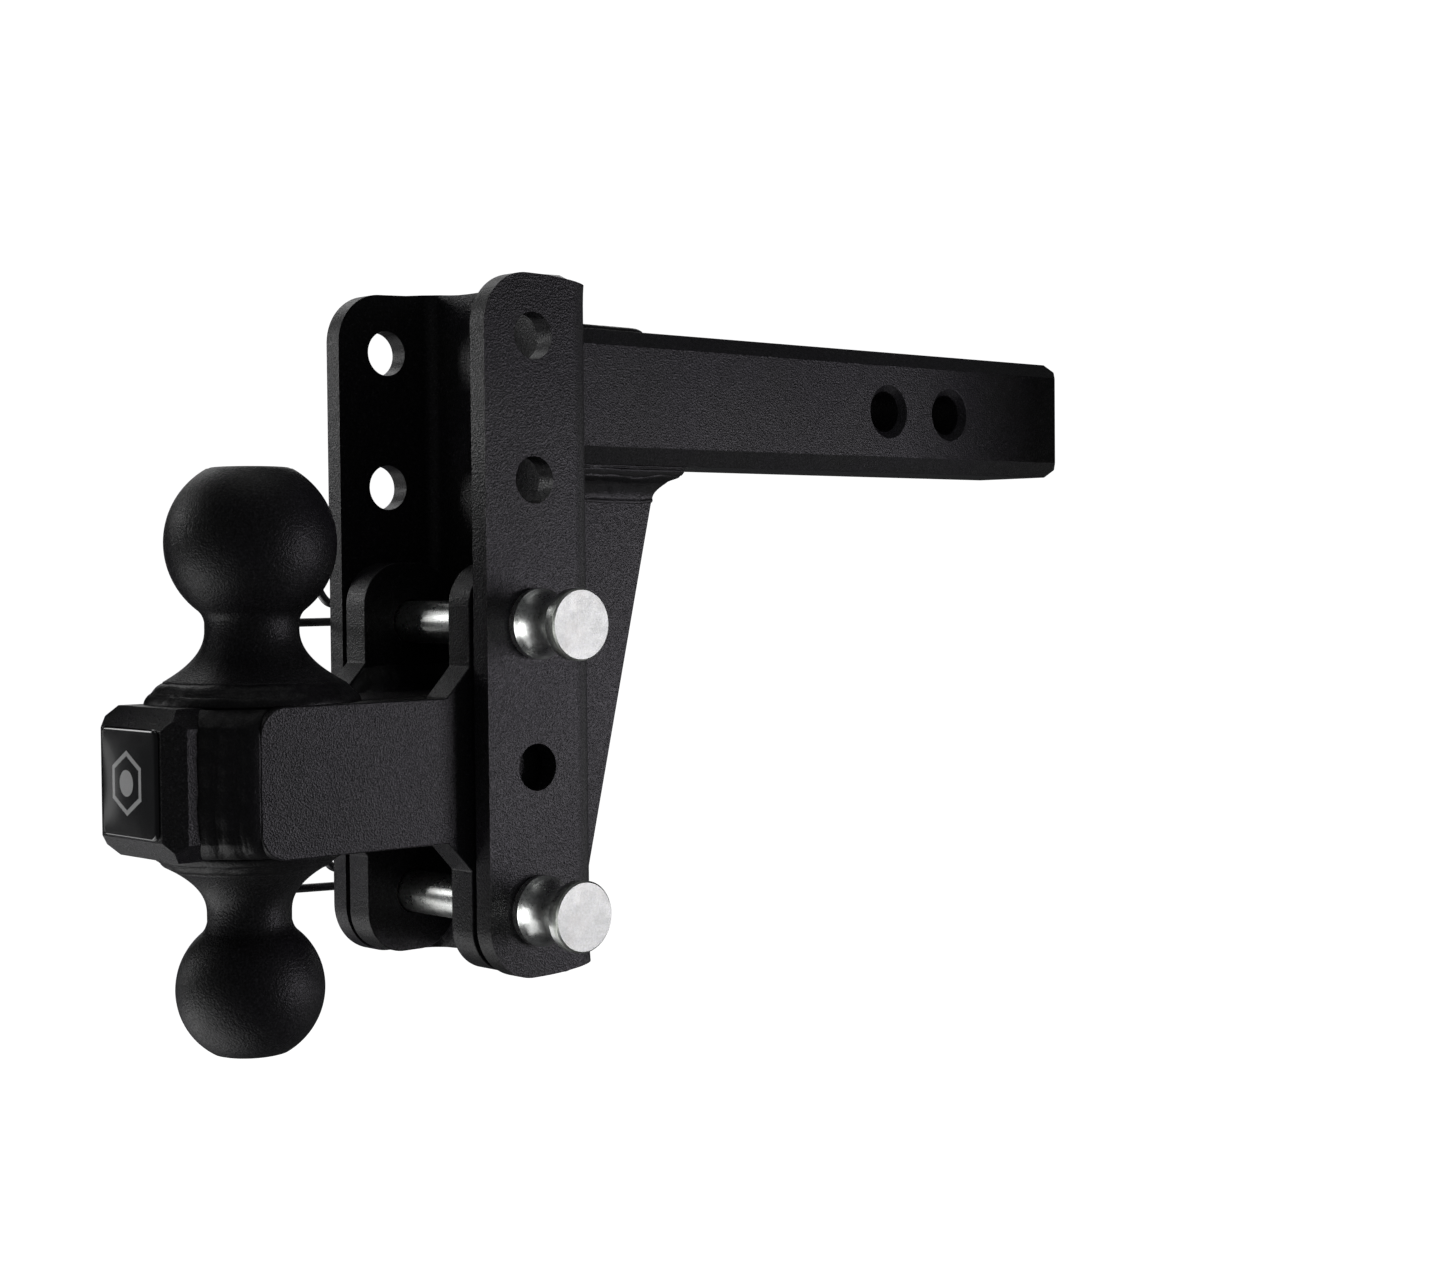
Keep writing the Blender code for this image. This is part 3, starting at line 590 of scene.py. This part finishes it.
def ball_profile(radius, flat, neck, foot):
    """(radius, height) from the ball's flat to its flange's foot, heights from the ball's centre."""
    neck_r, neck_drop, flange_r, flange_drop, power = neck
    flat_angle = math.degrees(math.asin(flat / radius))
    neck_angle = -math.degrees(math.acos((neck_r + 0.0012) / radius))
    flat_r = radius * math.cos(math.radians(flat_angle))
    points = [(0.0, flat), (flat_r * 0.5, flat), (flat_r - 0.0012, flat)]
    points += [(flat_r - 0.0005, flat - 0.00008), (flat_r + 0.00005, flat - 0.0004)]
    points += arc((0, 0), radius, flat_angle - 2.0, neck_angle + 2.5, 56)
    start = Vector(points[-1])
    corner = Vector((neck_r + 0.0006, start.y - 0.0012))
    end = Vector((neck_r, start.y - 0.0040))
    for i in range(1, 9):
        t = i / 8
        points.append(tuple(start * (1 - t) ** 2 + corner * 2 * t * (1 - t) + end * t ** 2))
    steps = 30
    top_z = min(-neck_drop, end.y - 0.0004)
    for i in range(1, steps + 1):
        t = i / steps
        points.append((neck_r + (flange_r - neck_r) * t ** power, top_z - (flange_drop + top_z) * t))
    points += [(flange_r + 0.0001, -flange_drop - 0.0003), (flange_r + 0.0001, foot), (0.0, foot)]
    return points


def balls():
    foot = HALF_BAR - 0.0010 - 0.0799
    profile = ball_profile(0.02937, 0.0259, (0.0161, 0.0295, 0.0302, 0.0472, 2.2), foot)
    obj = piece("upper_ball", turned(profile), BALL, ["upper_ball"],
                place=(UPPER_BALL_X, 0, CORE_Z + 0.0799))
    obj.data.set_sharp_from_angle(angle=math.radians(50))
    foot = HALF_BAR - 0.0010 - 0.0732
    profile = ball_profile(0.0254, 0.0223, (0.0144, 0.0260, 0.0262, 0.0418, 2.3), foot)
    obj = piece("lower_ball", turned([(r, -z) for r, z in profile]), BALL, ["lower_ball"],
                place=(LOWER_BALL_X, 0, CORE_Z - 0.0732))
    obj.data.set_sharp_from_angle(angle=math.radians(50))


def badge():
    """A soft-edged resin dome on the end of the core bar."""
    low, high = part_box("badge")
    wider = 0.0006
    half_y = (high.y - low.y) / 2 + wider
    half_z = (high.z - low.z) / 2 + wider
    back = CORE_LOW.x + 0.0003
    face = low.x
    r = 0.003
    edge = 0.0011
    crown = 0.00055
    sections = []

    def ring(x, inset):
        corner = max(r - inset, 0.0004)
        corners = []
        for cy, cz, start in ((1, 1, 0), (-1, 1, 90), (-1, -1, 180), (1, -1, 270)):
            centre = (cy * (half_y - inset - corner), cz * (half_z - inset - corner))
            corners.append(arc(centre, corner, start, start + 90, 8))
        points = []
        for k, here in enumerate(corners):
            there = corners[(k + 1) % 4]
            points += [(x, y, z) for y, z in here]
            for i in range(1, 16):
                y, z = Vector(here[-1]).lerp(Vector(there[0]), i / 16)
                points.append((x, y, z))
        return points

    sections.append(ring(back, 0.0))
    for i in range(9):
        a = math.radians(90 * i / 8)
        sections.append(ring(face + crown + edge * (1 - math.sin(a)), edge * (1 - math.cos(a))))
    count = 14
    for i in range(1, count):
        inset = edge + (half_y - edge - 0.0006) * i / count
        section = []
        for x, y, z in ring(0.0, inset):
            rise = (1 - (y / (half_y - edge)) ** 2) * (1 - (z / (half_z - edge)) ** 2)
            section.append((face + crown * (1 - rise), y, z))
        sections.append(section)
    piece("badge", skin(sections), FILM, ["badge"], place=(0, -wider, CORE_Z + wider))


# ---------------------------------------------------------------- pins and clips
def pin_profile():
    seat = -CHANNEL_Y - 0.0003
    head = 0.0126
    face = seat - 0.0249
    points = [(0.0, face), (0.004, face), (head - 0.0006, face), (head, face + 0.0006)]
    points += [(head, face + 0.0044), (head - 0.0003, face + 0.0048)]
    rim = face + 0.0048
    collar = seat - 0.0035
    steps = 26
    for i in range(1, steps):
        t = i / steps
        dip = math.sin(math.pi * t) ** 0.72
        points.append((head - 0.0003 - (head - 0.0003 - 0.0092) * dip, rim + (collar - rim) * t))
    points += [(head - 0.0003, collar), (head, collar + 0.0004)]
    points += [(head, seat - 0.0004), (head - 0.0004, seat)]
    shaft = 0.00794
    end = 0.0625
    points += [(shaft + 0.0004, seat), (shaft, seat + 0.0004), (shaft, -0.02), (shaft, 0.02)]
    points += [(shaft, end - 0.0018), (shaft - 0.0003, end - 0.0014)]
    points += [(shaft - 0.0014, end - 0.0003), (shaft - 0.0018, end), (0.0, end)]
    return points


def pin(name, z, turn):
    work = turned(pin_profile(), SMOOTH_STEPS, "Y")
    obj = piece(name, work, ZINC, [name], name, (HOLE_X, 0, z), turn)
    hole = turned([(0, -0.012), (0.0021, -0.012), (0.0021, 0.012), (0, 0.012)], 24)
    bmesh.ops.rotate(hole, verts=hole.verts, matrix=Matrix.Rotation(math.radians(90), 3, "Y"))
    bmesh.ops.rotate(hole, verts=hole.verts, matrix=Matrix.Rotation(turn, 3, "Y"))
    bmesh.ops.translate(hole, verts=hole.verts, vec=(HOLE_X, CLIP_Y, z))
    carve(obj, hole)
    obj.data.set_sharp_from_angle(angle=math.radians(30))


def tube(points, radius, sides):
    """A round wire through points in the XZ plane with domed ends."""
    centres = [Vector((x, 0, z)) for x, z in points]
    sections = []
    for i, centre in enumerate(centres):
        before = centres[max(i - 1, 0)]
        after = centres[min(i + 1, len(centres) - 1)]
        along = (after - before).normalized()
        out = Vector((0, 1, 0))
        up = along.cross(out)
        sections.append((centre, along, out, up))
    rings = []
    first, last = sections[0], sections[-1]

    def ring(section, shift, r):
        centre, along, out, up = section
        points_here = []
        for k in range(sides):
            a = 2 * math.pi * k / sides
            points_here.append(centre + along * shift + out * (r * math.cos(a)) + up * (r * math.sin(a)))
        return points_here

    caps = [(0.0, 1.0), (0.35, 0.94), (0.7, 0.71), (0.95, 0.31)]
    for share, size in reversed(caps):
        rings.append(ring(first, -share * radius * 0.6, radius * size))
    for section in sections[1:-1]:
        rings.append(ring(section, 0.0, radius))
    for share, size in caps:
        rings.append(ring(last, share * radius * 0.6, radius * size))
    return skin(rings)


def smooth_route(points, count):
    """Even points on a Catmull-Rom curve through the given ones."""
    extended = [points[0]] + list(points) + [points[-1]]
    dense = []
    for i in range(1, len(extended) - 2):
        p0, p1, p2, p3 = (Vector(p) for p in extended[i - 1:i + 3])
        for k in range(12):
            t = k / 12
            dense.append(0.5 * ((2 * p1) + (p2 - p0) * t + (2 * p0 - 5 * p1 + 4 * p2 - p3) * t * t
                                + (3 * p1 - p0 - 3 * p2 + p3) * t ** 3))
    dense.append(Vector(points[-1]))
    lengths = [0.0]
    for a, b in zip(dense, dense[1:]):
        lengths.append(lengths[-1] + (b - a).length)
    made, j = [], 0
    for i in range(count):
        goal = lengths[-1] * i / (count - 1)
        while j < len(lengths) - 2 and lengths[j + 1] < goal:
            j += 1
        span = max(lengths[j + 1] - lengths[j], 1e-9)
        t = min(max((goal - lengths[j]) / span, 0.0), 1.0)
        made.append(tuple(dense[j].lerp(dense[j + 1], t)))
    return made


def clip(name, z, turn):
    wire = 0.0016
    leg = [(-0.052, 0.0), (-0.040, 0.0), (-0.020, 0.0), (0.0, 0.0), (0.018, 0.0)]
    eye = arc((0.0285, 0.0072), 0.0072, -90, 150, 12)
    dip = [(0.0180, 0.0068), (0.0125, 0.0072)]
    crest = arc((0.0, 0.0), 0.00794 + wire + 0.0003, 52, 128, 8)
    tail = [(-0.0100, 0.0070), (-0.0140, 0.0066), (-0.0175, 0.0075), (-0.0200, 0.0099), (-0.0228, 0.0146)]
    route = smooth_route(leg + eye + dip + crest + tail, 200)
    piece(name, tube(route, wire, 20), WIRE, [name], name, (HOLE_X, CLIP_Y, z), turn)


# ---------------------------------------------------------------- welds
def ripple(along, across, pitch, bow):
    """Crescent ridges of a weld pass: along its run, bowed back at its edges. From 0 to 1."""
    t = along / pitch - bow * (1 - (2 * across - 1) ** 2)
    share = t - math.floor(t)
    return share ** 0.6 * (1 - max(0.0, share - 0.82) / 0.18)


STRAIGHT = [(0.0, 1.0), (0.33, 0.67), (0.67, 0.33), (1.0, 0.0)]


def fillet(name, stations, passes, pitch, amount, lobe, bulge, seed, closed=False, sink=0.0012, points=25,
           taper=(0.0, 0.0), shape=STRAIGHT, cracks=()):
    """A weld in a corner. Each station is (root, a, leg_a, b, leg_b): the corner and the two ways out of it.

    The face follows shape, in shares of the two legs, from the end of leg b to the end of leg a. It has a
    lobe for each pass, crescents along it, uneven toes, and cracks between passes, each given as
    (share, depth, waviness).
    Its back is sunk into the steel.
    """
    lengths = [0.0]
    for first, second in zip(stations, stations[1:]):
        lengths.append(lengths[-1] + (Vector(second[0]) - Vector(first[0])).length)
    total = lengths[-1]
    face = smooth_route(shape, points + 1)
    sections = []
    for (root, a, leg_a, b, leg_b), along in zip(stations, lengths):
        root, a, b = Vector(root), Vector(a).normalized(), Vector(b).normalized()
        grow = 1.0
        if taper[0] and along < taper[0]:
            grow = math.sqrt(max(0.02, 1 - (1 - along / taper[0]) ** 2))
        if taper[1] and total - along < taper[1]:
            grow = math.sqrt(max(0.02, 1 - (1 - (total - along) / taper[1]) ** 2))
        la = leg_a * grow * (1 + 0.05 * rough(root, 95.0, seed))
        lb = leg_b * grow * (1 + 0.05 * rough(root, 95.0, seed + 3.1))
        back = (a + b).normalized() * sink
        section = []
        for i in range(points + 1):
            u = i / points
            p, q = face[i]
            before, after = face[max(i - 1, 0)], face[min(i + 1, points)]
            along_a, along_b = (after[0] - before[0]) * la, (after[1] - before[1]) * lb
            out = (a * -along_b + b * along_a).normalized()
            base = root + a * la * p + b * lb * q
            wander = 0.06 * rough((along, u, seed), 48.0, seed) * math.sin(math.pi * u)
            lane = min(max(u + wander, 0.0), 1.0) * passes
            number = min(int(lane), passes - 1)
            inside = lane - number
            hump = math.sin(math.pi * inside) ** 1.4
            crest = ripple(along + number * 0.37 * pitch, inside, pitch * (1 + 0.1 * number), 0.45)
            fade = math.sin(math.pi * u) ** 0.35
            lift = bulge * grow * math.sin(math.pi * u) + (lobe * hump + amount * crest * hump) * fade * grow
            lift += 0.0003 * rough(base, 230.0, seed + number) * fade
            for share, depth, wave in cracks:
                middle = share + wave * rough((along, 0, share), 75.0, seed + 5)
                uneven = 0.75 + rough((along, 1, share), 120.0, seed)
                lift -= depth * math.exp(-((u - middle) / 0.018) ** 2) * uneven
            section.append(base + out * lift)
        section.append(root + a * la - back)
        section.append(root - back)
        section.append(root + b * lb - back)
        sections.append(section)
    return piece(name, skin(sections, closed), WELD_SHADED, [name])


def path_fillet(corners, ways, steps):
    """Stations along a polyline of corners; ways gives (a, leg_a, b, leg_b) at each corner."""
    stations = []
    for i in range(len(corners) - 1):
        p, q = Vector(corners[i]), Vector(corners[i + 1])
        first, second = ways[i], ways[i + 1]
        count = max(2, int((q - p).length / steps))
        for k in range(count):
            t = k / count
            a = Vector(first[0]).lerp(Vector(second[0]), t)
            b = Vector(first[2]).lerp(Vector(second[2]), t)
            stations.append((p.lerp(q, t), a, first[1] + (second[1] - first[1]) * t, b,
                             first[3] + (second[3] - first[3]) * t))
    a, leg_a, b, leg_b = ways[-1]
    stations.append((Vector(corners[-1]), Vector(a), leg_a, Vector(b), leg_b))
    return stations


def shank_welds():
    """Round the shank's sides against the channel's back."""
    away = Vector((1, 0, 0))
    leg = 0.009
    flat = HALF_BAR - CHAMFER
    for side, name in ((1, "shank_weld_left"), (-1, "shank_weld_right")):
        s = side * math.sqrt(0.5)
        rim = [(BACK_X, side * 0.0150, HALF_BAR), (BACK_X, side * (flat - 0.001), HALF_BAR),
               (BACK_X, side * (flat + 0.002), HALF_BAR - 0.0018),
               (BACK_X, side * (HALF_BAR - 0.0018), flat + 0.002), (BACK_X, side * HALF_BAR, flat - 0.001),
               (BACK_X, side * HALF_BAR, -flat + 0.001),
               (BACK_X, side * (HALF_BAR - 0.0018), -flat - 0.002),
               (BACK_X, side * (flat + 0.002), -HALF_BAR + 0.0018),
               (BACK_X, side * (flat - 0.002), -HALF_BAR)]
        outward = [(0, 0, 1), (0, 0, 1), (0, s, abs(s)), (0, s, abs(s)), (0, side, 0), (0, side, 0),
                   (0, s, -abs(s)), (0, s, -abs(s)), (0, 0, -1)]
        ways = [(away, leg, out, leg * 0.95) for out in outward]
        fillet(name, path_fillet(rim, ways, 0.0006), 2, 0.0042, 0.0003, 0.0004, 0.0006, 2.0 + side,
               taper=(0.0, 0.005))


def shank_top_weld():
    """A low broad run of weld on top of the shank, with rounded shoulders and a soft front."""
    shoulder = [(-0.0008, 0.0086), (0.0015, 0.0074), (0.004, 0.0052), (0.009, 0.0030)]
    half = 0.0165
    length = 0.057
    count = 70
    sections = []
    for i in range(count + 1):
        x = -0.0008 + (length + 0.0008) * i / count
        height = 0.0027
        if x < 0.009:
            for (x0, h0), (x1, h1) in zip(shoulder, shoulder[1:]):
                if x0 <= x <= x1:
                    height = h0 + (h1 - h0) * (x - x0) / (x1 - x0)
        end = max(0.0, (x - 0.043) / (length - 0.043))
        height *= math.sqrt(max(0.015, 1 - end ** 2))
        width = half * math.sqrt(max(0.10, 1 - 0.9 * end ** 2.4))
        section = []
        steps = 36
        for k in range(steps + 1):
            u = k / steps
            y = width * math.cos(math.pi * u)
            crown = math.sin(math.pi * u) ** 0.55
            lanes = 0.5 - 0.5 * math.cos(2 * math.pi * 4 * u)
            crest = ripple(x, (4 * u) % 1.0, 0.0040, 0.5)
            z = HALF_BAR + height * crown + (0.00022 * lanes + 0.00022 * crest) * crown
            z += 0.0003 * rough((x, y, 0), 180.0, 9.0) * crown
            section.append((BACK_X + x, y, z))
        section.append((BACK_X + x, -width, HALF_BAR - 0.001))
        section.append((BACK_X + x, width, HALF_BAR - 0.001))
        sections.append(section)
    piece("shank_top_weld", skin(sections), WELD_SHADED, ["shank_top_weld"])


def gusset_welds():
    """A heavy hollow-faced run round the gusset's top under the shank, and a run down each side of it."""
    top = -HALF_BAR
    half = GUSSET_HALF
    end_x = GUSSET_HIGH.x
    foot_z = GUSSET_LOW.z
    slope = (end_x - GUSSET_LOW.x - GUSSET_FOOT) / (top - foot_z)
    drop = 0.0142
    side_leg = 0.0088
    end_leg = 0.0092
    rim = [(BACK_X - 0.0005, -half, top), (end_x - 0.012, -half, top), (end_x, -half, top)]
    ways = [((0, 0, -1), drop, (0, -1, 0), side_leg)] * 2 + [((-slope, 0, -1), drop, (0, -1, 0), side_leg)]
    turns = 22
    for i in range(1, turns):
        a = math.radians(-90 + 180 * i / turns)
        c, s = math.cos(a), math.sin(a)
        y = half * max(-1.0, min(1.0, 1.6 * s))
        leg = ((abs(c) / end_leg) ** 4.5 + (abs(s) / side_leg) ** 4.5) ** (-1 / 4.5)
        rim.append((end_x + 0.00001 * i, y, top))
        ways.append(((-slope, 0, -1), drop, (c, s, 0), leg))
    rim += [(end_x, half, top), (end_x - 0.012, half, top), (BACK_X - 0.0005, half, top)]
    ways += [((-slope, 0, -1), drop, (0, 1, 0), side_leg)] + [((0, 0, -1), drop, (0, 1, 0), side_leg)] * 2
    shape = [(0.0, 1.0), (0.05, 1.02), (0.14, 0.98), (0.25, 0.86), (0.34, 0.68), (0.42, 0.46), (0.51, 0.27),
             (0.62, 0.11), (0.74, 0.02), (0.86, -0.01), (0.93, 0.02), (0.97, 0.02), (1.0, 0.0)]
    fillet("gusset_top_weld", path_fillet(rim, ways, 0.0006), 2, 0.0046, 0.00012, 0.00022, 0.0, 5.0,
           points=64, shape=shape, cracks=((0.24, 0.00075, 0.10), (0.05, 0.0006, 0.015)))
    leg = 0.008
    for side, name in ((1, "gusset_side_weld_left"), (-1, "gusset_side_weld_right")):
        rim = [(BACK_X, side * half, top - drop + 0.004), (BACK_X, side * half, foot_z - 0.0004)]
        ways = [((1, 0, 0), leg, (0, side, 0), leg)] * 2
        fillet(name, path_fillet(rim, ways, 0.0007), 1, 0.0045, 0.0003, 0.0004, 0.0004, 7.0 + side,
               taper=(0.0, 0.006))


def ball_rings():
    """A run of weld round the foot of each ball's flange."""
    for name, x, inner, outer, rise, up in (
            ("upper_ball_weld", UPPER_BALL_X, 0.0300, 0.0368, 0.0072, 1),
            ("lower_ball_weld", LOWER_BALL_X, 0.0260, 0.0327, 0.0060, -1)):
        stations = []
        count = 300
        base = CORE_Z + up * HALF_BAR
        for i in range(count):
            a = 2 * math.pi * i / count
            out = Vector((math.cos(a), math.sin(a), 0))
            root = Vector((x, 0, base)) + out * inner
            stations.append((root, out, outer - inner, Vector((0, 0, up)), rise))
        shape = [(0.0, 1.0), (0.22, 0.86), (0.52, 0.60), (0.80, 0.32), (0.96, 0.12), (1.0, 0.0)]
        fillet(name, stations, 2, 0.0043, 0.00012, 0.0002, 0.0, 11.0 + up, closed=True, points=30,
               shape=shape, cracks=((0.62, 0.0002, 0.12),))


def plate_front_welds():
    """Upright runs that join the front edges of the clevis plates to the sides of the core bar.

    Their ends follow the bar's chamfers and the plates' rounded corners.
    """
    near = PLATE_LOW.x
    thick = abs(PLATE_Y_OUT - PLATE_Y_IN)
    flat = HALF_BAR - CHAMFER
    for side, name in ((1, "plate_front_weld_left"), (-1, "plate_front_weld_right")):
        rim, ways = [], []
        reach = HALF_BAR - 0.0006
        count = 70
        for i in range(count + 1):
            z = -reach + 2 * reach * i / count
            past = max(0.0, abs(z) - 0.0154)
            x = near + (0.010 - math.sqrt(max(0.0, 0.010 ** 2 - past ** 2)))
            y = HALF_BAR - max(0.0, abs(z) - flat)
            share = past / (reach - 0.0154)
            forward = 0.0160 + (x - near) * 0.7 - 0.0030 * share ** 2
            across = (thick + 0.0001) * (1 - 0.35 * share ** 2) + (HALF_BAR - y)
            rim.append((x, side * y, CORE_Z + z))
            ways.append(((-1, 0, 0), forward, (0, side, 0), across))
        shape = [(0.0, 1.0), (0.14, 0.93), (0.40, 0.70), (0.66, 0.42), (0.88, 0.15), (1.0, 0.0)]
        fillet(name, path_fillet(rim, ways, 0.0007), 3, 0.0050, 0.00010, 0.00050, 0.0, 17.0 + side,
               sink=0.0015, points=48, shape=shape, cracks=((0.40, 0.0002, 0.10), (0.72, 0.0003, 0.06)))


def clevis_welds():
    """Runs that fill the core bar's chamfers beside the plates, and fillets up the plates behind."""
    seam_start = PLATE_LOW.x + 0.002
    step = FRONT_X - 0.0100
    ear_end = CORE_HIGH.x
    flat = HALF_BAR - CHAMFER
    for side, hand in ((1, "left"), (-1, "right")):
        for up, level in ((1, "upper"), (-1, "lower")):
            z = CORE_Z + up * flat
            rim = [(seam_start, side * HALF_BAR, z), (FRONT_X + 0.002, side * HALF_BAR, z)]
            ways = [((0, -side, 0), CHAMFER + 0.0006, (0, 0, up), CHAMFER - 0.0002)] * 2
            fillet("%s_seam_weld_%s" % (level, hand), path_fillet(rim, ways, 0.0007), 1, 0.0042, 0.0002,
                   0.0003, 0.0024, 23.0 + side + 2 * up, sink=0.0006)
            rim = [(step + 0.001, side * HALF_BAR, z), (FRONT_X - 0.001, side * HALF_BAR, z),
                   (FRONT_X + 0.006, side * HALF_BAR, z), (ear_end, side * HALF_BAR, z)]
            ways = [((0, -side, 0), 0.0085, (0, 0, up), 0.0060), ((0, -side, 0), 0.0103, (0, 0, up), 0.0152),
                    ((0, -side, 0), 0.0103, (0, 0, up), 0.0158), ((0, -side, 0), 0.0103, (0, 0, up), 0.0158)]
            fillet("%s_clevis_fillet_%s" % (level, hand), path_fillet(rim, ways, 0.0007), 2, 0.0042, 0.0002,
                   0.0003, -0.0004, 31.0 + side + 2 * up, sink=0.0006)


# ---------------------------------------------------------------- stage, camera and light
CENTRE = Vector((-0.25, 0.0, -0.10))


def studio():
    """A pale floor that curves up into a closed pale backdrop.

    Only the camera sees it, so it adds no light. It glows, less near the object and more away from it:
    painted light that keeps the far floor white where the lamps' light falls off.
    """
    floor_z = cad_low.z - 0.34
    radius = 6.0
    bend = 2.0
    profile = [(0.0, floor_z), (0.6, floor_z), (1.5, floor_z), (3.0, floor_z), (radius - bend, floor_z)]
    profile += arc((radius - bend, floor_z + bend), bend, -90, 0, 16)[1:]
    profile += [(radius, floor_z + 4.0)] + arc((radius - bend, floor_z + 4.0), bend, 0, 90, 16)[1:]
    profile.append((0.0, floor_z + 6.0))
    mesh = to_mesh("floor", turned(profile, 96))
    mesh.flip_normals()
    mesh.shade_smooth()
    floor = bpy.data.objects.new("floor", mesh)
    floor.location = (CENTRE.x, CENTRE.y, 0)
    bpy.context.scene.collection.objects.link(floor)
    n = Nodes("pale_floor")
    x, y, _ = n.axes()
    away = n.math("SQRT", n.math("ADD", n.math("MULTIPLY", x, x), n.math("MULTIPLY", y, y)))
    grain = n.noise(30.0, 3.0, 0.6)
    n.link(n.blend(grain, (0.80, 0.80, 0.80, 1), (0.84, 0.84, 0.84, 1)), n.shader.inputs["Base Color"])
    n.link(n.spread(grain, 0.3, 0.7, 0.85, 0.95), n.shader.inputs["Roughness"])
    n.set(Emission_Color=(1, 1, 1, 1))
    # Painted light: the glow rises with distance from the object and stands in for lamp light on the far
    # floor.
    n.link(n.spread(away, 0.5, 1.2, 0.80, 1.02), n.shader.inputs["Emission Strength"])
    mesh.materials.append(n.material)
    floor.visible_diffuse = False
    floor.visible_glossy = False
    floor.visible_transmission = False
    floor.visible_shadow = False


def camera():
    place = (-0.84996, -0.70787, -0.06549)
    yaw = math.radians(46.956)
    pitch = math.radians(1.718)
    roll = math.radians(-0.511)
    ahead = Vector((math.cos(yaw) * math.cos(pitch), math.sin(yaw) * math.cos(pitch), -math.sin(pitch)))
    right = Vector((math.sin(yaw), -math.cos(yaw), 0))
    up = right.cross(ahead)
    turned_right = right * math.cos(roll) + up * math.sin(roll)
    turned_up = up * math.cos(roll) - right * math.sin(roll)
    data = bpy.data.cameras.new("camera")
    data.sensor_width = 36.0
    data.lens = 59.27
    data.clip_start = 0.05
    data.clip_end = 50.0
    obj = bpy.data.objects.new("camera", data)
    bpy.context.scene.collection.objects.link(obj)
    turn = Matrix((turned_right, turned_up, -ahead)).transposed().to_4x4()
    obj.matrix_world = Matrix.Translation(place) @ turn
    bpy.context.scene.camera = obj


def softbox(name, place, target, width, height, radiance, tint=(1, 1, 1)):
    data = bpy.data.lights.new(name, "AREA")
    data.shape = "RECTANGLE"
    data.size = width
    data.size_y = height
    data.energy = radiance * math.pi * width * height
    data.color = tint
    obj = bpy.data.objects.new(name, data)
    obj.location = place
    obj.rotation_mode = "QUATERNION"
    obj.rotation_quaternion = (Vector(place) - Vector(target)).to_track_quat("Z", "Y")
    obj.visible_camera = False
    bpy.context.scene.collection.objects.link(obj)
    return obj


def flag(name, x, y, z):
    """Upright black felt card at one y, which keeps light and reflections off a stretch of the object.

    The camera doesn't see it.
    """
    card = bmesh.new()
    corners = ((x[0], y, z[0]), (x[1], y, z[0]), (x[1], y, z[1]), (x[0], y, z[1]))
    card.faces.new([card.verts.new(corner) for corner in corners])
    mesh = to_mesh(name, card)
    n = Nodes(name + "_felt")
    n.link(n.blend(n.noise(400.0, 2.0), grey(0.01), grey(0.03)), n.shader.inputs["Base Color"])
    mesh.materials.append(n.material)
    obj = bpy.data.objects.new(name, mesh)
    bpy.context.scene.collection.objects.link(obj)
    obj.visible_camera = False


def lights():
    """Soft lights all round; pin_box lights only the two bright pins."""
    softbox("right_box", (0.43, -0.83, -0.20), (0.17, 0, -0.13), 0.56, 0.46, 2.36, (1.0, 0.955, 1.05))
    softbox("bend_box", (0.75, -0.15, -0.15), (-0.30, 0, -0.10), 0.50, 0.50, 0.6)
    softbox("left_box", (-0.96, 1.05, 0.18), (-0.36, 0, -0.05), 0.40, 0.40, 2.8)
    softbox("high_left_box", (-0.92, 1.03, 0.52), (-0.36, 0, -0.05), 0.40, 0.40, 1.0)
    softbox("badge_box", (-0.90, 1.25, -0.24), (-0.46, 0, -0.135), 0.30, 0.40, 0.45)
    softbox("side_box", (-1.30, 0.80, -0.65), (-0.40, 0, -0.18), 0.60, 0.40, 1.2)
    softbox("low_left_box", (-0.95, 0.45, -0.56), (-0.95, 0.45, 1.0), 1.00, 1.00, 0.85)
    softbox("low_right_box", (0.30, -0.32, -0.56), (0.30, -0.32, 1.0), 0.60, 0.60, 0.20)
    softbox("top_box", (-0.30, 0.10, 1.30), CENTRE, 1.0, 0.8, 0.28)
    softbox("back_box", (0.30, 1.20, 0.20), CENTRE, 0.9, 0.9, 0.4)
    softbox("rear_box", (0.80, 1.10, 0.62), CENTRE, 0.7, 0.7, 0.6)
    softbox("rear_high_box", (-0.10, 1.25, 0.95), CENTRE, 0.8, 0.8, 1.0)
    bright = softbox("pin_box", (-1.45, -0.30, -0.40), (-0.33, -0.05, -0.13), 0.70, 0.80, 3.8)
    only = bpy.data.collections.new("bright_metal")
    for name in ("upper_pin", "lower_pin"):
        for obj in bpy.data.objects:
            if obj.name.startswith(name) and obj.type == "MESH" and obj.data.materials[:1] == [ZINC]:
                only.objects.link(obj)
    bright.light_linking.receiver_collection = only
    world = bpy.data.worlds.new("studio")
    world.use_nodes = True
    sky = world.node_tree.nodes["Background"]
    sky.inputs["Color"].default_value = (0.95, 0.97, 1.0, 1)
    sky.inputs["Strength"].default_value = 0.042
    bpy.context.scene.world = world
    bpy.context.scene.view_settings.view_transform = "Standard"


camera()
studio()
shank()
channel()
gusset()
core_bar()
clevis_plates()
balls()
badge()
pin("upper_pin", UPPER_PIN_Z, 0.0)
pin("lower_pin", LOWER_PIN_Z, LOWER_PIN_TURN)
clip("upper_clip", UPPER_PIN_Z, 0.0)
clip("lower_clip", LOWER_PIN_Z, LOWER_PIN_TURN)
shank_welds()
shank_top_weld()
gusset_welds()
ball_rings()
plate_front_welds()
clevis_welds()
flag("shank_flag", (0.0, 0.60), -0.12, (-0.20, 0.20))
flag("left_flag", (-0.495, -0.412), 0.10, (-0.17, -0.02))
lights()
